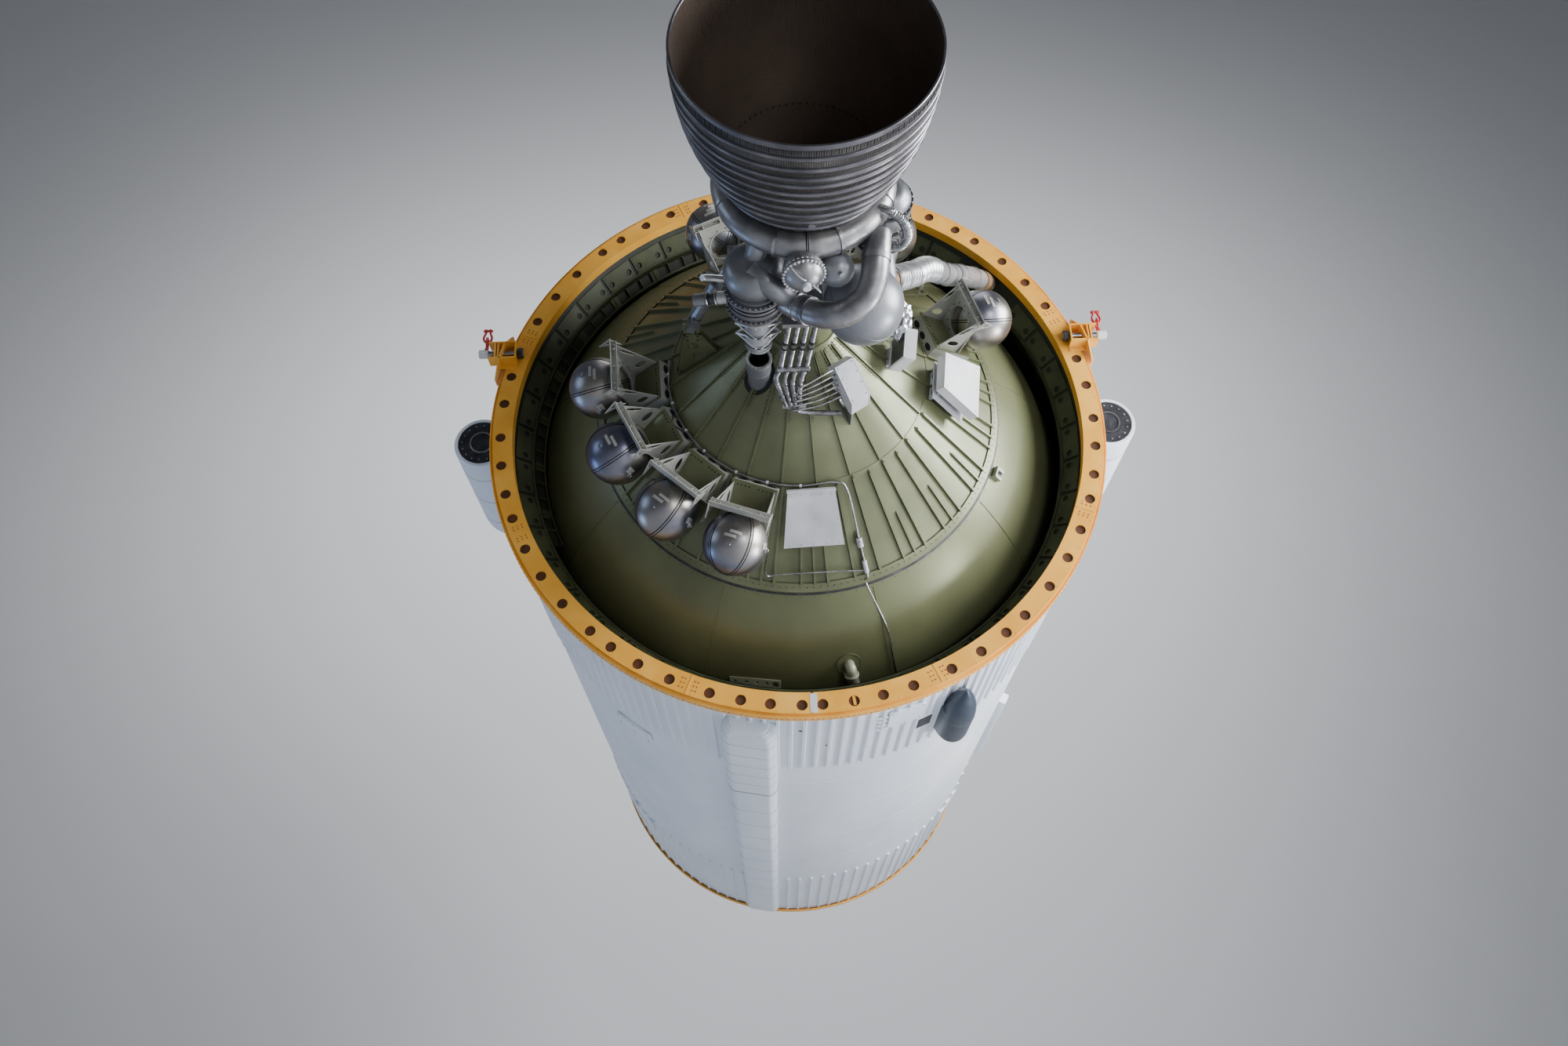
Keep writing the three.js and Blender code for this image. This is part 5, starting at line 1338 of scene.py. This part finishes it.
OXIDISER = Vector((-0.43, 0, -0.64))
left_pump = Form()
place = shift(*OXIDISER)
volute = [(0, -3.635)] + [(0.155 + 0.106 * math.sin(math.pi * i / 16),
                           -3.455 - 0.15 * math.cos(math.pi * i / 16)) for i in range(17)]
left_pump.add(revolve([*volute, (0.215, -3.28), (0.235, -3.24), (0.24, -3.1), (0.225, -3.02),
                       (0.188, -2.96), (0.15, -2.882), (0, -2.88)], 64), place, 0)
for y, radius in ((-3.27, 0.262), (-3.06, 0.255)):
    left_pump.add(hoop(radius - 0.06, radius, y, y + 0.028, 64), place, 0)
    bolted(left_pump, place, radius - 0.012, y, 36, bolt(0.01, 0.01), 2)
for y in (-3.2, -3.15):
    left_pump.add(hoop(0.2, 0.245, y, y + 0.008, 64), place, 1)
left_pump.rod((-0.43, -3.56, -0.6), (-0.38, -3.75, -0.55), 0.09, 0, 32)
inlet = shift(-0.411, 0, -0.66)
profile = [(0, -2.958), (0.125, -2.958), (0.128, -2.95), (0.128, -2.83), (0.12, -2.82)]
for first, last in ((-2.81, -2.71), (-2.655, -2.555)):
    profile += ribs(0.1, 0.016, first, last, 4, 8)
    profile += [(0.122, last + 0.008), (0.122, last + 0.045), (0.1, last + 0.05)]
profile += [(0.1, -2.475), (0.122, -2.472), (0.122, -2.452), (0.09, -2.45), (0.09, -2.5), (0, -2.5)]
left_pump.add(revolve(profile, 48), inlet, 3)
for y in (-2.845, -2.70, -2.54):
    left_pump.add(hoop(0.112, 0.127, y, y + 0.01, 48), inlet, 4)
for y in (-2.845, -2.70):  # a three-cornered tie on each side between the collars
    for apex_at in (0, 180):
        apex = inlet @ turn(apex_at, "Y") @ Vector((0.19, y + 0.075, 0))
        left_pump.add(ball(0.014, 12, 8), shift(*apex), 5)
        for way in (-78, 78):
            for foot in (y, y + 0.15):
                end = inlet @ turn(apex_at + way, "Y") @ Vector((0.124, foot, 0))
                left_pump.rod(apex, end, 0.009, 5, 10)
                left_pump.add(ball(0.012, 12, 8), shift(*end), 5)
piece("oxidiser_pump_skin", left_pump, "engine",
      [PUMP, DARK_STEEL, STEEL, DUCT, DARK_STEEL, DUCT], ["oxidiser_pump"])

FUEL = Vector((0.69, 0, 0.06))
elbow = INLET - duct_line * 0.11
right_pump = Form()
place = shift(*FUEL)
right_pump.add(revolve(soften([(0, -3.635), (0.15, -3.628), (0.233, -3.54), (0.248, -3.4),
                               (0.232, -3.2), (0.222, -2.962), (0.15, -2.902), (0, -2.882)]), 64),
               place, 0)
for y in (-3.5, -3.3, -3.08):
    right_pump.add(hoop(0.2, 0.252, y, y + 0.03, 64), place, 1)
    bolted(right_pump, place, 0.242, y, 24, bolt(0.009, 0.009), 2)
right_pump.rod((0.64, -3.56, 0.06), (0.58, -3.75, 0.05), 0.09, 0, 32)
right_pump.add(ball(0.106, 48, 24), shift(*elbow), 0)
right_pump.rod(elbow, INLET, 0.112, 3, 48)
right_pump.rod(elbow, (0.69, -3.01, -0.04), 0.108, 0, 48)
right_pump.add(hoop(0.105, 0.126, 0.07, 0.108, 48), aimed(elbow, INLET), 2)
curl = [(0.69, -3.33, -0.12), (0.714, -3.39, -0.33), (0.79, -3.48, -0.445), (0.837, -3.61, -0.45),
        (0.79, -3.78, -0.44), (0.69, -3.88, -0.42), (0.6, -3.88, -0.37)]
right_pump.add(tube(curl, ribbed(0.034, 0.008, 0.022, 0.25, 0.85), 24, 40), paint=2)
for k in range(5):
    spot = Vector((0.70 + 0.03 * k, -3.22 - 0.03 * k, -0.19 - 0.05 * (k % 2)))
    right_pump.rod(spot, spot + Vector((0.03, 0.02, -0.05)), 0.018, 2)
piece("fuel_pump_skin", right_pump, "engine", [PUMP, DARK_STEEL, STEEL, RUST],
      ["fuel_pump"])

# Start tank, gas generator and small tank
START = Vector((0.504, -2.95, -0.6388))
start = Form()
start.add(ball(0.353, 96, 48), shift(*START) @ turn(20, "X"))
start.add(hoop(0.345, 0.356, -0.004, 0.004, 96), shift(*START) @ turn(35, "Z"))
start.add(drum(0.03, 0.34, 0.375, 0.004, 24), shift(*START) @ turn(-150, "X"), 1)
piece("start_tank_skin", start, "engine", [TANK_GREY, STEEL], ["start_tank"])
GENERATOR = Vector((-0.038, -3.7, -0.838))
generator = Form()
look = aimed(GENERATOR, GENERATOR + Vector((0.12, -0.1, -1)))
generator.add(ball(0.166, 64, 32), look, 0)
generator.add(hoop(0.15, 0.176, 0.03, 0.052, 64), look, 0)
for place, y in ((look, 0.03), (look @ turn(180, "X"), -0.052)):
    bolted(generator, place, 0.168, y, 30, bolt(0.012, 0.012), 1)
generator.rod((-0.02, -3.74, -0.62), GENERATOR, 0.125, 0, 48)
generator.add(drum(0.035, 0.15, 0.2, 0.004, 24), look, 1)
for side in (-1, 1):
    hook = [look @ Vector(p) for p in ((side * 0.05, 0.15, 0.03), (side * 0.09, 0.2, 0.05),
                                       (side * 0.14, 0.17, 0.03), (side * 0.165, 0.08, 0.0))]
    generator.add(tube(hook, 0.006, 8, 6), paint=1)
piece("gas_generator_skin", generator, "engine", [MANIFOLD, BOX_WHITE],
      ["gas_generator"])
SMALL = Vector((0.24, -3.568, -0.73))
small = Form()
small.add(ball(0.146, 64, 32), shift(*SMALL), 0)
small.add(hoop(0.14, 0.149, -0.006, 0.006, 64), shift(*SMALL) @ turn(70, "Z"), 0)
small.rod(SMALL + Vector((0.02, -0.09, -0.11)), SMALL + Vector((0.03, -0.11, -0.15)), 0.02, 1, 20)
piece("small_tank_skin", small, "engine", [TANK_GREY, STEEL], ["small_tank"])

CROSSOVER_RADIUS = 0.113
crossover = Form()
path = [(0.59, -3.7, -0.48), (0.56, -3.66, -0.7), (0.53, -3.56, -0.86), (0.455, -3.48, -0.98),
        (0.3, -3.4, -1.04), (0.12, -3.3, -0.985), (-0.06, -3.21, -0.83), (-0.17, -3.18, -0.73)]
crossover.add(tube(path, CROSSOVER_RADIUS, 48, 16), paint=0)
stations = smooth_line(path, 16)
for i, width, grow, paint in ((14, 0.05, 0.008, 1), (30, 0.012, 0.003, 0), (48, 0.012, 0.003, 0),
                              (64, 0.012, 0.003, 0), (88, 0.05, 0.012, 1), (96, 0.02, 0.008, 2)):
    collar = hoop(0.1, CROSSOVER_RADIUS + grow, 0, width, 48)
    crossover.add(collar, aimed(stations[i], stations[i + 1]), paint)
piece("crossover_duct_skin", crossover, "engine", [MANIFOLD, PUMP, STEEL],
      ["crossover_duct"])

# Thrust chamber's smooth shells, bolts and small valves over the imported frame
chamber = Form()
chamber.add(revolve(soften([(0.19, -3.199), (0.2, -3.199), (0.246, -3.08), (0.246, -2.862),
                            (0.238, -2.858)]), 96), paint=0)
chamber.add(hoop(0.236, 0.336, -2.862, -2.79, 96), paint=0)
bolted(chamber, Matrix(), 0.312, -2.862, 48, bolt(0.009, 0.009), 1)
chamber.add(revolve(soften([(0.24, -2.788), (0.244, -2.76), (0.214, -2.64), (0.17, -2.635)]), 96),
            paint=0)
for y in (-3.12, -3.0, -2.93):
    chamber.add(hoop(0.24, 0.254, y, y + 0.012, 96), paint=1)
valve = [(-0.62, -3.3, -0.6), (-0.78, -3.36, -0.62), (-0.86, -3.42, -0.66)]
chamber.add(tube(valve, 0.03, 20, 6), paint=2)
cylinder = aimed(Vector((-0.60, -3.18, -0.68)), Vector((-0.96, -3.10, -0.65)))
for y0, y1, radius, paint in ((0, 0.06, 0.03, 3), (0.06, 0.15, 0.056, 2), (0.15, 0.17, 0.066, 1),
                              (0.17, 0.23, 0.045, 3), (0.23, 0.25, 0.062, 1), (0.25, 0.36, 0.054, 0)):
    chamber.add(drum(radius, y0, y1, 0.005, 32), cylinder, paint)
chamber.add(tube([(-0.46, -3.54, -0.70), (-0.33, -3.50, -0.80), (-0.21, -3.37, -0.80),
                  (-0.17, -3.25, -0.73)], 0.1, 40, 12), paint=0)
piece("chamber_skin", chamber, "engine", [PUMP, STEEL, DUCT, DARK_STEEL])

# Four flexible pipes across the gimbal, the pipes beyond them on the cone, and six small tubes
BUNDLE_TOP = Vector((-0.02, -2.8513, -0.735))
BUNDLE_FOOT = Vector((-0.1, -2.24, -0.78))
bundle_middle = (BUNDLE_TOP + BUNDLE_FOOT) / 2
OFFSETS = [(i - 1.5) * 0.078 for i in range(4)]


def hoses(node, start, end, bodies):
    form = Form()
    run = (end - start).length
    profile = [(0.0, 0.0003), (0.027, 0.0003), (0.027, 0.02), (0.021, 0.022)]
    profile += ribs(0.0205, 0.0055, 0.024, run - 0.024, 12, 4)
    profile += [(0.021, run - 0.022), (0.027, run - 0.02), (0.027, run - 0.0003), (0, run - 0.0003)]
    collar_at = run - 0.045 if bodies[0] == "root" else 0.03
    for offset in OFFSETS:
        aside = Vector((offset, 0, 0))
        place = aimed(start + aside, end + aside)
        form.add(revolve(profile, 20), place, 0)
        form.add(hoop(0.02, 0.0295, collar_at, collar_at + 0.018, 20), place, 1)
    piece(f"{node}_skin", form, (*bodies, start, end), [HOSE, DARK_STEEL], [node])


hoses("hoses_fixed", BUNDLE_FOOT, bundle_middle, ("root", "gimbal"))
hoses("hoses_engine", bundle_middle, BUNDLE_TOP, ("gimbal", "engine"))
bundle = Form()
for offset in OFFSETS:
    run = [Vector((x + offset * close, y, z)) for x, y, z, close in
           ((*BUNDLE_FOOT, 1), (-0.14, -2.08, -0.79, 1), (-0.135, -1.9, -0.8, 0.8),
            (-0.1, -1.68, -0.85, 0.55))]
    bundle.add(tube(run, ribbed(0.0215, 0.0045, 0.014, 0.02, 0.5), 20, 36), paint=0)
    bundle.rod(run[0] + Vector((0, 0.03, 0)), run[0] + Vector((0, 0.055, 0)), 0.03, 1, 20)
bundle.rod((-0.25, -2.208, -0.781), (0.05, -2.208, -0.781), 0.03, 2, 16)
bundle.add(tube([(-0.06, -1.7, -0.846), (-0.06, -1.59, -0.85), (0.09, -1.545, -0.85),
                 (0.36, -1.535, -0.86)], 0.026, 24, 10), paint=2)
seat = cone_at(-96, -1.514)
bundle.add(box((-0.11, 0.11), (-0.03, 0.03), (-0.04, 0.23)), seat, 2)
junction_seat = cone_at(JUNCTION_CLOCK, JUNCTION_Y)
for k in range(6):  # thin tubes from the bundle to the junction box
    end = junction_seat @ Vector((-0.128, -0.16 + 0.055 * k, 0.255))
    start = Vector((-0.05 - 0.012 * k, -2.02 + 0.07 * k, -0.825 - 0.008 * k))
    bend = start.lerp(end, 0.45) + Vector((0, -0.03 + 0.012 * k, -0.05))
    bundle.add(tube([start, start + Vector((0.03, 0.0, -0.03)), bend, end], 0.011, 10, 12), paint=2)
piece("pipe_bundle_skin", bundle, "root", [HOSE, DARK_STEEL, HOSE],
      ["pipe_bundle"])

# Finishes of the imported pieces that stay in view
FINISHES = {"tank_green": DOME, "stage_white": WHITE, "ring_orange": ORANGE, "cone_green": CONE,
            "fairing_slate": SLATE, "shackle_red": RED, "box_grey": BOX, "engine_alloy": ALLOY,
            "pump_alloy": PUMP, "bell_tubes": BELL, "sphere_metal": SPHERE,
            "bracket_metal": SHEET, "fitting_steel": PUMP}
for node in NODES.values():
    for spot in node.material_slots:
        name = spot.material.name.split(".")[0] if spot.material else ""
        spot.material = FINISHES.get(name, STEEL)


# Floor, backdrop, light and camera
def studio(name, code, corners):
    mesh = bpy.data.meshes.new(name)
    mesh.from_pydata(corners, [], [(0, 1, 2, 3)])
    mesh.materials.append(finish(f"{name}_paper", [(0.3, code), (0.8, code)], (0.7, 0.8), scale=0.4))
    show(name, mesh)


FLOOR_Z = -7.05
BACKDROP_Y = 34
studio("backdrop", "d2d4d8", [(x, BACKDROP_Y, z) for x, z in four_sided(90, -12, 80)])
studio("floor", "c4c6ca", [(x, y, FLOOR_Z) for x, y in four_sided(60, -60, 60)])
world = bpy.data.worlds.new("studio")
bpy.context.scene.world = world
world.use_nodes = True
world.node_tree.nodes["Background"].inputs["Color"].default_value = (0.68, 0.71, 0.76, 1)
world.node_tree.nodes["Background"].inputs["Strength"].default_value = 0.17


def area_light(name, place, target, size, power, colour):
    data = bpy.data.lights.new(name, "AREA")
    data.shape = "RECTANGLE"
    data.size, data.size_y = size
    data.energy = power
    data.color = colour
    light = show(name, data)
    light.location = place
    light.rotation_euler = (Vector(target) - Vector(place)).to_track_quat("-Z", "Y").to_euler()


area_light("key", (15, -5, 1.5), (0.5, -0.6, -0.6), (8, 9), 6300, (0.98, 0.99, 1))
area_light("front", (9, -16, -4), (0, 0, -1), (4, 4), 750, (1, 0.99, 0.97))
area_light("fill", (-15, -5, 2), (0, 0, -1), (6, 6), 240, (0.6, 0.75, 1))
area_light("top", (2, -3, 15), (0, 3, 0), (8, 12), 700, (1, 0.99, 0.97))
area_light("left_side", (-15, 4, -5), (0, 5, -1), (5, 4), 330, (0.38, 0.6, 1))
area_light("right_side", (9.5, 0, -6.7), (0, 5.5, -2.5), (3, 3), 1500, (0.97, 0.98, 1))
area_light("wall", (0, 14, 22), (0, BACKDROP_Y, 14), (40, 10), 9000, (1, 1, 1))

CAMERA_PLACE = Vector((-0.444, -11.573, -6.953))
PHOTO_WIDTH = 2000
FOCAL_PIXELS = 1559.36
SENSOR_WIDTH = 36
PITCH, YAW, ROLL = (math.radians(a) for a in (26.203, 1.2, -2.502))
forward = Vector((math.sin(YAW) * math.cos(PITCH), math.cos(YAW) * math.cos(PITCH), math.sin(PITCH)))
level = Vector((math.cos(YAW), -math.sin(YAW), 0))
lifted = level.cross(forward)
right = level * math.cos(ROLL) + lifted * math.sin(ROLL)
upright = right.cross(forward)
data = bpy.data.cameras.new("camera")
data.sensor_width = SENSOR_WIDTH
data.lens = FOCAL_PIXELS * SENSOR_WIDTH / PHOTO_WIDTH
data.clip_end = 200
camera = show("camera", data)
camera.matrix_world = axes(CAMERA_PLACE, right, upright, -forward)
bpy.context.scene.camera = camera
